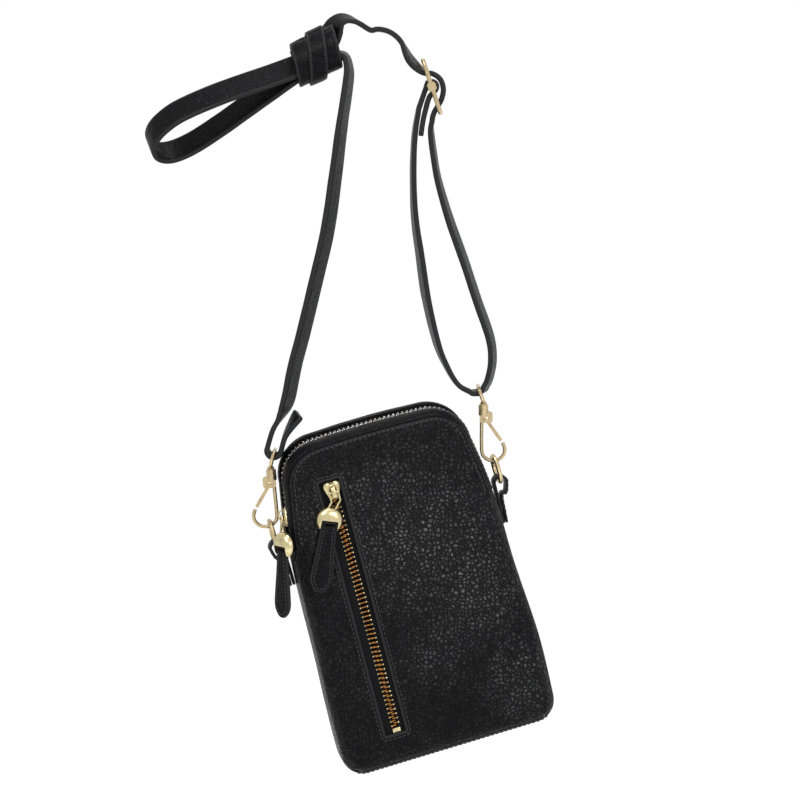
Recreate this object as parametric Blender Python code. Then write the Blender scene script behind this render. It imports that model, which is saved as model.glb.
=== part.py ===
"""A small upright crossbody satchel that hangs by its strap, built in metres with +Z up.

The world origin is the underside of the strap where it passes over its support. The bag has a frame of its
own: u runs to the right, v up from the base seam and w from front to back. An empty on the swing axis carries it.
"""

import math

import bmesh
import bpy
from mathutils import Matrix, Vector

# Clearances and leather
GAP = 0.0003
LEATHER = 0.0016
STRIP_LEATHER = 0.0013
OVERRUN = 0.002

# Bag body
HALF_WIDTH = 0.0582
BAG_HEIGHT = 0.1853
HALF_DEPTH = 0.0150
PANEL_CROWN = 0.0026
SHOULDER_HEIGHT = 0.475 * BAG_HEIGHT
SHOULDER_TAPER = 0.0070
TOP_CORNER_RADIUS = 0.0200
BASE_CORNER_RADIUS = 0.0100
TOP_ARCH = 0.0008
TOP_LEAN = 0.0014
SIDE_BULGE = 0.0022
ZIP_BULGE = 0.0030
BASE_BULGE = 0.0048

# Main zip
ZIP_END_DROP = 0.0513
ZIP_END_HEIGHT = BAG_HEIGHT - ZIP_END_DROP
ZIP_SWERVE = 0.0055
SWERVE_REACH = 0.040
STRIP_EDGE = 0.0056
TAPE_HALF = 0.0088
TAPE_THICKNESS = 0.0006
TOOTH_PITCH = 0.0026
TOOTH_LENGTH = 0.0011
TOOTH_TIP_LENGTH = 0.0008
TOOTH_REACH = 0.0007
BEAD_INNER = 0.0009
BEAD_OUTER = 0.0022
BEAD_HEIGHT = 0.0020

# Sliders
SLIDER_LENGTH = 0.0090
SLIDER_WIDTH = 0.0084
SLIDER_PLATE = 0.0010
CROWN_LENGTH = 0.0072
CROWN_WIDTH = 0.0030
CROWN_HEIGHT = 0.0032
CROWN_WALL = 0.0009
DIAMOND_LENGTH = 0.0014
DIAMOND_WIDTH = 0.0012
SLIDER_REST = 0.0160
SLIDER_REST_HEIGHT = ZIP_END_HEIGHT + SLIDER_REST
MAIN_TRAVEL = 0.0120

# Pullers
BAIL_WIRE = 0.0006
BAIL_HALF_WIDTH = 0.0025
BAIL_DROP = 0.0050
BAIL_SEAT = 2.2 * BAIL_WIRE
CAP_WIDTH = 0.0148
CAP_LENGTH = 0.0130
CAP_THICKNESS = 0.0044
TAB_LENGTH = 0.0400
TAB_WIDTH = 0.0128
TAB_NECK = 0.0088
TAB_THICKNESS = 0.0022
TAB_INSERT = 0.0050
CAP_SEAT_SHARE = 0.2
POCKET_PULL_REACH = 0.0083
POCKET_PULL_TURN = math.radians(23)
MAIN_PULL_TURN = math.radians(32)
MAIN_PULL_OUT = 0.0020
MAIN_PULL_FORWARD = 0.0108
MAIN_PULL_DROP = 0.0069

# Pocket in the front panel
WINDOW_LEFT = 0.0361
WINDOW_WIDTH = 0.0125
WINDOW_BASE = 0.0157
WINDOW_TOP_DROP = 0.0196
WINDOW_HEIGHT = BAG_HEIGHT - WINDOW_TOP_DROP - WINDOW_BASE
TAPE_MARGIN = 0.0040
STOP_LENGTH = 0.0030
POUCH_MOUTH = 0.0096
POCKET_CHAIN_INSET = 0.0073
POCKET_TAPE_HALF = 0.0090
POCKET_SLIDER_DROP = 0.0072
POCKET_SLIDER_HEIGHT = WINDOW_BASE + WINDOW_HEIGHT - POCKET_SLIDER_DROP
POUCH_HALF_WIDTH = 0.0440
POUCH_DEPTH = 0.0090
POUCH_MARGIN = 0.0090
LINING_WALL = 0.0008
BOARD_THICKNESS = 0.0012
BOARD_LIFT = 0.0006
LINING_TOP_DROP = 0.0193
LINING_TOP = BAG_HEIGHT - LINING_TOP_DROP

# Rings and their tabs
SWING_RISE = 0.0114
SWING_HEIGHT = ZIP_END_HEIGHT + SWING_RISE
RING_OUT = 0.0654
RING_RADIUS = 0.0076
RING_WIRE = 0.0013
RING_BACK = 0.0030
TAB_STRIP_WIDTH = 0.0080
TAB_STRIP = 0.0012
RING_TAB_DROP = 0.0230

# Snap hooks, in a frame whose origin is the gate pin
HOOK_WIRE = 0.0011
HOOK_REACH = 0.0240
HOOK_THICKNESS = 0.0034
HEAD_WIDTH = 0.0072
HEAD_HEIGHT = 0.0063
HEAD_SHIFT = 0.0003
HEAD_LIFT = 0.00085
NECK_TOP = 0.0078
GATE_THICKNESS = 0.0013
GATE_EYE = 0.00175
GATE_NOTCH = math.radians(82)
PIN_RADIUS = 0.00065
PIN_HEAD = 0.0013
EYE_WIRE = 0.0011
EYE_HALF_WIDTH = 0.0094
EYE_RISE = 0.0178
EYE_SET = 0.0042
EYE_HEIGHT = 0.0082
STEM_X = -0.0012
STEM_RADIUS = 0.0010
FLANGE_RADIUS = 0.0016
FLANGE_DEEP = 0.0012
FLANGE_TOP = 0.0050
COLLAR_RADIUS = 0.0028
LEFT_HOOK_LEAN = math.radians(5.3)
BOW_SHARES = [
    (-0.090, -0.12), (-0.088, -0.75), (-0.025, -0.90), (0.083, -0.975), (0.208, -0.992), (0.350, -0.942),
    (0.442, -0.817), (0.446, -0.683), (0.400, -0.567),
]

# Strap and adjuster
STRAP_WIDTH = 0.0160
STRAP_THICKNESS = 0.0028
SUPPORT_RADIUS = 0.0142
STRAP_LOOP = 0.0040
KNOT_WIDTH = 0.0180
KNOT_HEIGHT = 0.0176
KNOT_LENGTH = 0.0170
KNOT_START = 0.0015
KNOT_RISE = 0.0020
KNOT_POCKET = 0.0135
BIGHT_OUT = 0.0437
BIGHT_DROP = 0.0195
ADJUSTER_LENGTH = 0.0300
ADJUSTER_WIRE = 0.0012
ADJUSTER_BAR = 0.0011
ADJUSTER_TURN = math.radians(18.5)
ADJUSTER_OUT = 0.0297
ADJUSTER_DROP = 0.0298
CLAMP_LENGTH = 0.0042
CLAMP_SIZE = 0.0046

# How the bag hangs
SWING_X = 0.0028
SWING_DROP = 0.2552
BAG_TILT = math.radians(14.9)
BAG_TURN = math.radians(9.0)
BAG_PITCH = math.radians(2.0)

LEATHER_COLOUR = (0.022, 0.022, 0.024)
SIDE_COLOUR = (0.016, 0.016, 0.018)
LINING_COLOUR = (0.060, 0.055, 0.050)
BRASS_COLOUR = (0.62, 0.50, 0.27)
HOOK_COLOUR = (0.60, 0.47, 0.34)
STEEL_COLOUR = (0.36, 0.35, 0.34)
TAPE_COLOUR = (0.010, 0.010, 0.011)


def clear_scene():
    """Start from an empty scene."""
    for item in list(bpy.data.objects):
        bpy.data.objects.remove(item, do_unlink=True)


def material(name, colour, roughness, metallic=0.0):
    """A plain material for one sub-part."""
    made = bpy.data.materials.new(name)
    made.use_nodes = True
    shader = made.node_tree.nodes["Principled BSDF"]
    shader.inputs["Base Color"].default_value = (*colour, 1.0)
    shader.inputs["Roughness"].default_value = roughness
    shader.inputs["Metallic"].default_value = metallic
    made.diffuse_color = (*colour, 1.0)
    return made


def empty(name, location, rotation=(0.0, 0.0, 0.0), parent=None):
    """A parent on a joint's axis."""
    made = bpy.data.objects.new(name, None)
    bpy.context.collection.objects.link(made)
    made.parent = parent
    made.location = location
    made.rotation_euler = rotation
    return made


def finish(name, bm, finish_material, parent=None, matrix=None, smooth=True):
    """Turn a bmesh into the named object, with its faces pointing out."""
    bmesh.ops.recalc_face_normals(bm, faces=bm.faces[:])
    mesh = bpy.data.meshes.new(name)
    bm.to_mesh(mesh)
    bm.free()
    if finish_material:
        mesh.materials.append(finish_material)
    made = bpy.data.objects.new(name, mesh)
    bpy.context.collection.objects.link(made)
    made.parent = parent
    if matrix is not None:
        made.location = matrix.to_translation()
        made.rotation_euler = matrix.to_euler()
    if smooth:
        mesh.shade_smooth()
        mesh.set_sharp_from_angle(angle=math.radians(35))
    return made


def loft(rings, ring_shaped=False):
    """Bridge rings of equal count; the ends get caps unless the last ring meets the first."""
    bm = bmesh.new()
    rows = [[bm.verts.new(point) for point in ring] for ring in rings]
    count = len(rows[0])
    pairs = list(zip(rows, rows[1:]))
    if ring_shaped:
        pairs.append((rows[-1], rows[0]))
    for low, high in pairs:
        for i in range(count):
            j = (i + 1) % count
            bm.faces.new((low[i], low[j], high[j], high[i]))
    if not ring_shaped:
        bm.faces.new(list(reversed(rows[0])))
        bm.faces.new(rows[-1])
    return bm


def layered(outlines):
    """A solid from flat outlines stacked along z, given as (height, points)."""
    return loft([[Vector((x, y, z)) for x, y in points] for z, points in outlines])


def box_outline(length, width, chamfer):
    """Eight points of a chamfered rectangle centred on the origin."""
    a, b = length / 2, width / 2
    return [
        (a, b - chamfer), (a - chamfer, b), (chamfer - a, b), (-a, b - chamfer),
        (-a, chamfer - b), (chamfer - a, -b), (a - chamfer, -b), (a, chamfer - b),
    ]


def circle(radius, count, start=0.0):
    """Points of a circle, anticlockwise."""
    turns = [start + 2 * math.pi * i / count for i in range(count)]
    return [(radius * math.cos(turn), radius * math.sin(turn)) for turn in turns]


def smooth_path(points, steps):
    """Catmull-Rom points through a hand-chosen route."""
    route = [2 * points[0] - points[1], *points, 2 * points[-1] - points[-2]]
    made = []
    for a, b, c, d in zip(route, route[1:], route[2:], route[3:]):
        for step in range(steps):
            t = step / steps
            made.append(
                0.5 * (
                    2 * b + (c - a) * t + (2 * a - 5 * b + 4 * c - d) * t ** 2 + (3 * b - a - 3 * c + d) * t ** 3
                )
            )
    made.append(points[-1].copy())
    return made


def tangents(points, closed=False):
    """Unit directions along a path."""
    count = len(points)
    made = []
    for i in range(count):
        if closed:
            step = points[(i + 1) % count] - points[i - 1]
        else:
            step = points[min(i + 1, count - 1)] - points[max(i - 1, 0)]
        made.append(step.normalized())
    return made


def tube(points, radius, sides, across, closed=False):
    """A round wire along a path that lies square to the direction across."""
    rings = []
    for point, along in zip(points, tangents(points, closed)):
        second = along.cross(across).normalized()
        rings.append([point + across * x + second * y for x, y in circle(radius, sides, math.pi / sides)])
    return loft(rings, ring_shaped=closed)


def ribbon(points, widths, width, thickness):
    """A flat strap along a path; widths gives its width direction at each point."""
    half, edge = width / 2, thickness / 2
    chamfer = thickness / 4
    profile = [
        (half, edge - chamfer), (half - chamfer, edge), (chamfer - half, edge), (-half, edge - chamfer),
        (-half, chamfer - edge), (chamfer - half, -edge), (half - chamfer, -edge), (half, chamfer - edge),
    ]
    rings = []
    for point, along, side in zip(points, tangents(points), widths):
        normal = along.cross(side).normalized()
        side = normal.cross(along).normalized()
        rings.append([point + side * x + normal * y for x, y in profile])
    return loft(rings)


def boolean(target, tool, operation):
    """Join or cut with a guide that stays out of the model."""
    tool.hide_render = True
    tool.display_type = "WIRE"
    step = target.modifiers.new(operation.lower() + "_" + tool.name, "BOOLEAN")
    step.operation = operation
    step.solver = "EXACT"
    step.object = tool


def smoothstep(low, high, value):
    """Ease from 0 to 1 between two values."""
    share = min(max((value - low) / (high - low), 0.0), 1.0)
    return share * share * (3 - 2 * share)


# Bag outline: the seam line that the panels, the gusset and the zip strips share


def half_width(v):
    """Half the panel's width at a height on its sides."""
    span = BAG_HEIGHT - TOP_CORNER_RADIUS - SHOULDER_HEIGHT
    share = min(max((v - SHOULDER_HEIGHT) / span, 0.0), 1.0)
    return HALF_WIDTH - SHOULDER_TAPER * share ** 2.2


def right_zip_side():
    """Seam points from the right zip end up to the middle of the top."""
    corner_v = BAG_HEIGHT - TOP_CORNER_RADIUS
    steps = 4
    points = []
    for i in range(steps):
        v = ZIP_END_HEIGHT + (corner_v - ZIP_END_HEIGHT) * i / steps
        points.append((half_width(v), v))
    centre_u = half_width(corner_v) - TOP_CORNER_RADIUS
    turns = 6
    for i in range(turns + 1):
        angle = math.pi / 2 * i / turns
        v = corner_v + (TOP_CORNER_RADIUS - TOP_ARCH) * math.sin(angle)
        points.append((centre_u + TOP_CORNER_RADIUS * math.cos(angle), v))
    flats = 3
    for i in range(1, flats + 1):
        share = i / flats
        rise = TOP_ARCH * (1 - (1 - share) ** 2)
        points.append((centre_u * (1 - share), BAG_HEIGHT - TOP_ARCH + rise))
    return points


def right_base_side():
    """Seam points from the middle of the base out and up to the right zip end."""
    centre_u = HALF_WIDTH - BASE_CORNER_RADIUS
    flats = 3
    points = [(centre_u * i / flats, 0.0) for i in range(flats)]
    turns = 4
    for i in range(turns + 1):
        angle = math.pi / 2 * i / turns
        points.append(
            (centre_u + BASE_CORNER_RADIUS * math.sin(angle), BASE_CORNER_RADIUS * (1 - math.cos(angle)))
        )
    steps = 5
    for i in range(1, steps + 1):
        v = BASE_CORNER_RADIUS + (ZIP_END_HEIGHT - BASE_CORNER_RADIUS) * i / steps
        points.append((half_width(v), v))
    return points


def over_the_top():
    """Seam points from the left zip end over the top to the right zip end."""
    right = right_zip_side()
    both = [(-u, v) for u, v in right] + right[::-1][1:]
    return [Vector((u, 0.0, v)) for u, v in both]


def round_the_base():
    """Seam points from the right zip end down, along the base and up to the left zip end."""
    right = right_base_side()
    both = right[::-1] + [(-u, v) for u, v in right[1:]]
    return [Vector((u, 0.0, v)) for u, v in both]


def outward(points, closed=False):
    """Directions square to the seam that point away from the bag."""
    return [Vector((-along.z, 0.0, along.x)) for along in tangents(points, closed)]


def bulge(point, normal):
    """How far the gusset's middle stands out from the seam line."""
    side = SIDE_BULGE + (ZIP_BULGE - SIDE_BULGE) * smoothstep(SHOULDER_HEIGHT, ZIP_END_HEIGHT, point.z)
    upright = BASE_BULGE if normal.z < 0 else ZIP_BULGE
    return side * normal.x ** 2 + upright * normal.z ** 2


def rise(point, normal, w):
    """The gusset's outer surface above the seam line, at a distance w from mid depth."""
    return bulge(point, normal) * math.sqrt(max(1 - (w / HALF_DEPTH) ** 2, 0.0))


def leaned(point):
    """The bag's top leans forward, so its back edge stands a little higher than the front one."""
    share = smoothstep(SHOULDER_HEIGHT, BAG_HEIGHT, point.z)
    return point + Vector((0.0, 0.0, TOP_LEAN * share * point.y / HALF_DEPTH))


def across_gusset(point, normal, w, sink):
    """A point at depth w, sunk below the gusset's outer surface."""
    return leaned(point + normal * (rise(point, normal, w) - sink) + Vector((0.0, w, 0.0)))


# Leather body of the bag


def panel(name, side, finish_material, parent):
    """A crowned panel whose rim is the seam line; side is -1 for the front and 1 for the back."""
    seam = over_the_top() + round_the_base()[1:-1]
    middle = Vector((0.0, 0.0, BAG_HEIGHT / 2))
    crown_shares = [(0.0, 0.0), (0.025, 0.50), (0.08, 0.86), (0.17, 1.0)]
    outer, inner = [], []
    for inset, height in crown_shares:
        outer_w = side * (HALF_DEPTH + LEATHER + PANEL_CROWN * height)
        inner_w = side * (HALF_DEPTH + PANEL_CROWN * height)
        row = [point + (middle - point) * inset for point in seam]
        outer.append([leaned(point + Vector((0.0, outer_w, 0.0))) for point in row])
        inner.append([leaned(point + Vector((0.0, inner_w, 0.0))) for point in row])
    return finish(name, loft(outer[::-1] + inner), finish_material, parent)


def gusset(parent, finish_material):
    """The U-shaped leather band of the two sides and the base."""
    seam = round_the_base()
    normals = outward(seam)
    seam[0] = seam[0] - Vector((0.0, 0.0, GAP))
    seam[-1] = seam[-1] - Vector((0.0, 0.0, GAP))
    stations = 6
    edge = HALF_DEPTH - GAP
    depths = [edge * math.sin(math.pi / 2 * (2 * i / stations - 1)) for i in range(stations + 1)]
    rings = []
    for point, normal in zip(seam, normals):
        outer = [across_gusset(point, normal, w, 0.0) for w in depths]
        inner = [across_gusset(point, normal, w, LEATHER) for w in depths[::-1]]
        rings.append(outer + inner)
    return finish("gusset", loft(rings), finish_material, parent)


# Main zip


def zip_middle(travelled):
    """The chain swerves towards the front over its last stretch on the left side."""
    return -ZIP_SWERVE * (1 - smoothstep(0.0, SWERVE_REACH, travelled))


def along_zip():
    """Seam points over the top with their outward directions and the distance travelled."""
    seam = over_the_top()
    normals = outward(seam)
    travelled = [0.0]
    for low, high in zip(seam, seam[1:]):
        travelled.append(travelled[-1] + (high - low).length)
    return seam, normals, travelled


def at_travelled(distance):
    """The seam point and outward direction at a distance along the zip."""
    seam, normals, travelled = along_zip()
    distance = min(max(distance, 0.0), travelled[-1])
    last = len(seam) - 2
    i = next((k for k in range(last) if travelled[k + 1] >= distance), last)
    share = (distance - travelled[i]) / (travelled[i + 1] - travelled[i])
    point = seam[i].lerp(seam[i + 1], share)
    return point, normals[i].lerp(normals[i + 1], share).normalized()


def band(name, near, far, sink, thickness, stations, finish_material, parent):
    """A band along the zip; near and far give its two edges from the chain's middle and the seam."""
    rings = []
    for point, normal, distance in zip(*along_zip()):
        low, high = near(zip_middle(distance)), far(zip_middle(distance))
        depths = [low + (high - low) * i / stations for i in range(stations + 1)]
        outer = [across_gusset(point, normal, w, sink) for w in depths]
        inner = [across_gusset(point, normal, w, sink + thickness) for w in depths[::-1]]
        rings.append(outer + inner)
    return finish(name, loft(rings), finish_material, parent)


CHAIN_SINK = STRIP_LEATHER + GAP + TAPE_THICKNESS / 2


def chain_point(distance, offset, height):
    """A point of the main chain: offset from its middle line, height above the tape's mid plane."""
    point, normal = at_travelled(distance)
    middle = zip_middle(distance)
    base = across_gusset(point, normal, middle, CHAIN_SINK)
    return base + normal * height + Vector((0.0, offset, 0.0))


def comb(name, place_point, side, first, count, finish_material, parent):
    """A row of teeth fused to its bead; place_point maps (distance, offset, height) to the bag."""
    bm = bmesh.new()
    half = BEAD_HEIGHT / 2
    tip = half * 0.86

    def vert(distance, offset, height):
        return bm.verts.new(place_point(distance, side * offset, height))

    def bead_row(distance):
        return [
            vert(distance, BEAD_OUTER, half), vert(distance, BEAD_INNER, half),
            vert(distance, BEAD_INNER, -half), vert(distance, BEAD_OUTER, -half),
        ]

    def bridge(low, high, tooth_middle=None):
        bm.faces.new((low[3], low[0], high[0], high[3]))
        bm.faces.new((low[0], low[1], high[1], high[0]))
        bm.faces.new((low[2], low[3], high[3], high[2]))
        if tooth_middle is None:
            bm.faces.new((low[1], low[2], high[2], high[1]))
            return
        shift = TOOTH_TIP_LENGTH / 2
        start = [vert(tooth_middle - shift, -TOOTH_REACH, z) for z in (tip, -tip)]
        end = [vert(tooth_middle + shift, -TOOTH_REACH, z) for z in (tip, -tip)]
        bm.faces.new((low[1], start[0], end[0], high[1]))
        bm.faces.new((low[2], high[2], end[1], start[1]))
        bm.faces.new((low[1], low[2], start[1], start[0]))
        bm.faces.new((high[1], end[0], end[1], high[2]))
        bm.faces.new((start[0], start[1], end[1], end[0]))

    row = bead_row(first - TOOTH_PITCH / 4)
    bm.faces.new(row)
    for i in range(count):
        middle = first + TOOTH_PITCH * i + TOOTH_LENGTH / 2
        start_row = bead_row(middle - TOOTH_LENGTH / 2)
        bridge(row, start_row)
        row = bead_row(middle + TOOTH_LENGTH / 2)
        bridge(start_row, row, middle)
    end_row = bead_row(first + TOOTH_PITCH * (count - 1) + TOOTH_LENGTH + TOOTH_PITCH / 4)
    bridge(row, end_row)
    bm.faces.new(end_row[::-1])
    return finish(name, bm, finish_material, parent, smooth=False)


# Sliders and pullers


def slider(name, matrix, parent, finish_material):
    """Two plates round the chain, joined by the diamond at -x, with an arched crown on top."""
    plate_in = BEAD_HEIGHT / 2 + GAP
    plate_out = plate_in + SLIDER_PLATE
    plate = [
        (x, y * (1.0 if x < 0 else 0.78))
        for x, y in box_outline(SLIDER_LENGTH, SLIDER_WIDTH, SLIDER_WIDTH / 5)
    ]
    diamond_x = SLIDER_LENGTH / 2 - DIAMOND_LENGTH
    diamond = [(x - diamond_x, y) for x, y in box_outline(DIAMOND_LENGTH, DIAMOND_WIDTH, DIAMOND_WIDTH / 4)]
    levels = [
        (-plate_out, plate), (-plate_in, plate), (-plate_in, diamond), (plate_in, diamond),
        (plate_in, plate), (plate_out, plate),
    ]
    body = finish(name, layered(levels), finish_material, parent, matrix)
    low = plate_out - SLIDER_PLATE / 2
    high = plate_out + CROWN_HEIGHT
    middle = (low + high) / 2
    outer = box_outline(CROWN_LENGTH, high - low, CROWN_WALL * 1.4)
    inner = box_outline(CROWN_LENGTH - 2 * CROWN_WALL, high - low - 2 * CROWN_WALL, CROWN_WALL / 2)
    half = CROWN_WIDTH / 2
    rings = [
        [Vector((x, y, z + middle)) for x, z in outline]
        for outline, y in ((outer, -half), (outer, half), (inner, half), (inner, -half))
    ]
    crown = finish(name + "_crown_guide", loft(rings, ring_shaped=True), None, parent, matrix)
    boolean(body, crown, "UNION")
    return body


CROWN_EYE_HEIGHT = BEAD_HEIGHT / 2 + GAP + SLIDER_PLATE + (CROWN_HEIGHT - SLIDER_PLATE / 2) / 2


def puller(name, bar, drop, reach, down, normal, parent, brass, leather):
    """Bail, bell-shaped cap and leather tab, with the origin on the bail's bar in the crown.

    bar is half the bail's bar, drop leads the legs past the crown, and reach leads to the cap's top.
    """
    side = normal.cross(down).normalized()
    frame = Matrix((
        (down.x, side.x, normal.x, reach.x), (down.y, side.y, normal.y, reach.y),
        (down.z, side.z, normal.z, reach.z), (0.0, 0.0, 0.0, 1.0),
    ))
    low = -CAP_THICKNESS * CAP_SEAT_SHARE
    grip_share = 0.14
    grip = side * (CAP_WIDTH * grip_share) + down * BAIL_SEAT + normal * (low / 2 + CAP_THICKNESS / 4)
    far_grip = grip - side * (2 * CAP_WIDTH * grip_share)
    if side.dot(bar) < 0:
        grip, far_grip = far_grip, grip
    corners = [bar / 2, bar, bar + drop, reach + grip, reach + far_grip, drop - bar, -bar, bar / -2]
    bail_ring = tube(corners, BAIL_WIRE, 6, bar.cross(drop).normalized(), closed=True)
    bail = finish(name + "_bail_guide", bail_ring, None, parent)

    bell_shares = [(0.0, 0.26), (0.10, 0.56), (0.34, 0.88), (0.62, 1.0), (0.86, 0.92), (1.0, 0.66)]
    half = CAP_WIDTH / 2
    bell = [(x * CAP_LENGTH, y * half) for x, y in bell_shares]
    bell += [(x, -y) for x, y in bell[::-1]]
    middle_x = CAP_LENGTH * 0.55
    dome_shares = [(0.0, 0.94), (0.12, 1.0), (0.45, 0.98), (0.75, 0.84), (0.93, 0.60), (1.0, 0.34)]
    levels = []
    for height, size in dome_shares:
        outline = [(middle_x + (x - middle_x) * size, y * size) for x, y in bell]
        levels.append((low + CAP_THICKNESS * height, outline))
    bm = layered(levels)
    bm.transform(frame)
    cap = finish(name + "_cap", bm, brass, parent)
    boolean(cap, bail, "UNION")

    tab_low = low + CAP_THICKNESS / 8
    tab_start = CAP_LENGTH - TAB_INSERT
    cut_start = tab_start - GAP
    cut_end = CAP_LENGTH + OVERRUN
    cut_middle = (cut_start + cut_end) / 2
    slot = box_outline(cut_end - cut_start, TAB_NECK + 2 * GAP, GAP)
    slot = [(x + cut_middle, y) for x, y in slot]
    bm = layered([(low - OVERRUN, slot), (tab_low + TAB_THICKNESS + GAP, slot)])
    bm.transform(frame)
    boolean(cap, finish(name + "_slot_guide", bm, None, parent), "DIFFERENCE")

    paddle_shares = [
        (0.0, 0.67), (0.14, 0.67), (0.40, 0.80), (0.72, 0.99), (0.82, 1.0), (0.91, 0.82), (1.0, 0.28),
    ]
    paddle = [(tab_start + x * TAB_LENGTH, y * TAB_WIDTH / 2) for x, y in paddle_shares]
    paddle += [(x, -y) for x, y in paddle[::-1]]
    bm = layered([(tab_low, paddle), (tab_low + TAB_THICKNESS, paddle)])
    bm.transform(frame)
    finish(name + "_tab", bm, leather, parent)


# Rings and their leather tabs


def ring(name, side, parent, finish_material):
    """A metal ring in the plane square to the bag's width, with its origin on its bottom wire."""
    centre = Vector((0.0, 0.0, RING_RADIUS))
    points = [centre + Vector((0.0, y, z)) for y, z in circle(RING_RADIUS, 24)]
    wire = tube(points, RING_WIRE, 8, Vector((1.0, 0.0, 0.0)), closed=True)
    made = finish(name, wire, finish_material, parent)
    made.location = Vector((side * RING_OUT, RING_BACK, RING_BOTTOM))
    return made


HOOK_CLEAR = HOOK_WIRE + RING_WIRE + GAP
RING_BOTTOM = SWING_HEIGHT + HOOK_CLEAR - 2 * RING_RADIUS


def ring_tab(name, side, parent, finish_material):
    """A leather strip up the side, round the ring's bottom wire and down again to its tail."""
    half = TAB_STRIP_WIDTH / 2
    sag = RING_RADIUS - math.sqrt(RING_RADIUS ** 2 - half ** 2)
    turn_radius = RING_WIRE + sag + GAP + TAB_STRIP / 2
    layer_in = side_surface(RING_BOTTOM - RING_TAB_DROP) + GAP + TAB_STRIP / 2
    start_v = RING_BOTTOM - RING_TAB_DROP
    path = [Vector((layer_in, 0.0, start_v)), Vector((layer_in, 0.0, start_v + RING_TAB_DROP / 3))]
    near_side = side_surface(RING_BOTTOM) + GAP + TAB_STRIP / 2
    inner = max(near_side, RING_OUT - turn_radius)
    path.append(Vector((inner, 0.0, RING_BOTTOM - turn_radius)))
    ring_wire = Vector((RING_OUT, 0.0, RING_BOTTOM))
    for i in range(7):
        angle = math.pi - math.pi * i / 6
        path.append(ring_wire + turn_radius * Vector((math.cos(angle), 0.0, math.sin(angle))))
    tail = path[1] + Vector((2 * TAB_STRIP, 0.0, 0.0))
    path.append(Vector((RING_OUT + turn_radius * 0.8, 0.0, RING_BOTTOM - turn_radius * 1.6)))
    path.append(tail + Vector((TAB_STRIP, 0.0, RING_TAB_DROP / 3)))
    path.append(tail - Vector((0.0, 0.0, RING_TAB_DROP / 3)))
    path = [Vector((side * point.x, RING_BACK, point.z)) for point in path]
    widths = [Vector((0.0, 1.0, 0.0))] * len(path)
    return finish(name, ribbon(path, widths, TAB_STRIP_WIDTH, TAB_STRIP), finish_material, parent)


def side_surface(v):
    """How far the gusset's middle stands out from the bag's centre plane."""
    point = Vector((half_width(v), 0.0, v))
    return half_width(v) + bulge(point, Vector((1.0, 0.0, 0.0)))


# Snap hooks


def mirror_points(points, side):
    """The hook is drawn for the right; the left one is its mirror image."""
    return [Vector((point.x * side, point.y, point.z)) for point in points]


def plate(outline, depth, side):
    """A flat solid drawn in x and z, centred on y = 0."""
    rings = [[Vector((x * side, y, z)) for x, z in outline] for y in (-depth / 2, depth / 2)]
    return loft(rings)


def rod(x, low, high, radius, count, side):
    """An upright round solid at x, from low to high."""
    rings = [[Vector(((px + x) * side, py, z)) for px, py in circle(radius, count)] for z in (low, high)]
    return loft(rings)


def cross_rod(radius, count, half):
    """A round solid along y through the origin."""
    rings = [[Vector((px, y, pz)) for px, pz in circle(radius, count)] for y in (-half, half)]
    return loft(rings)


def hook_body(name, side, parent, finish_material):
    """Head plate with the gate's slot, neck with the stem's bore, and the J-shaped bow."""
    head = [
        (x + HEAD_SHIFT, z + HEAD_LIFT) for x, z in box_outline(HEAD_WIDTH, HEAD_HEIGHT, HEAD_WIDTH / 8)
    ]
    body = finish(name, plate(head, HOOK_THICKNESS, side), finish_material, parent)
    head_top = HEAD_LIFT + HEAD_HEIGHT / 2
    neck = rod(STEM_X, PIN_HEAD + 2 * GAP, NECK_TOP, COLLAR_RADIUS, 16, side)
    boolean(body, finish(name + "_neck_guide", neck, None, parent), "UNION")
    bore = STEM_RADIUS + GAP
    chamber = [(head_top - FLANGE_DEEP, FLANGE_RADIUS + GAP), (FLANGE_TOP + GAP, FLANGE_RADIUS + GAP)]
    chamber += [(FLANGE_TOP + GAP, bore), (NECK_TOP + OVERRUN, bore)]
    rings = []
    for z, radius in chamber:
        rings.append([Vector(((px + STEM_X) * side, py, z)) for px, py in circle(radius, 16)])
    boolean(body, finish(name + "_bore_guide", loft(rings), None, parent), "DIFFERENCE")
    slot_left = -(GATE_EYE + GAP)
    slot_right = HEAD_WIDTH
    slot_low = HEAD_LIFT - HEAD_HEIGHT / 2 - OVERRUN
    slot_high = GATE_EYE + GAP
    slot = [(slot_left, slot_low), (slot_right, slot_low), (slot_right, slot_high), (slot_left, slot_high)]
    slot_cut = plate(slot, GATE_THICKNESS + 2 * GAP, side)
    boolean(body, finish(name + "_slot_guide", slot_cut, None, parent), "DIFFERENCE")
    bow = [Vector((x * HOOK_REACH, 0.0, z * HOOK_REACH)) for x, z in BOW_SHARES]
    bow = [Vector((bow[0].x, 0.0, -(GATE_EYE + GAP))), *smooth_path(bow, 2)]
    wire = tube(mirror_points(bow, side), HOOK_WIRE, 8, Vector((0.0, 1.0, 0.0)))
    boolean(body, finish(name + "_bow_guide", wire, None, parent), "UNION")
    pin_cut = finish(name + "_pin_guide", cross_rod(PIN_RADIUS + GAP, 12, HOOK_THICKNESS), None, parent)
    boolean(body, pin_cut, "DIFFERENCE")
    return body


def gate_direction():
    """From the pin to the bow's nose."""
    x, z = BOW_SHARES[-1]
    return Vector((x, 0.0, z)) * HOOK_REACH


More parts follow.
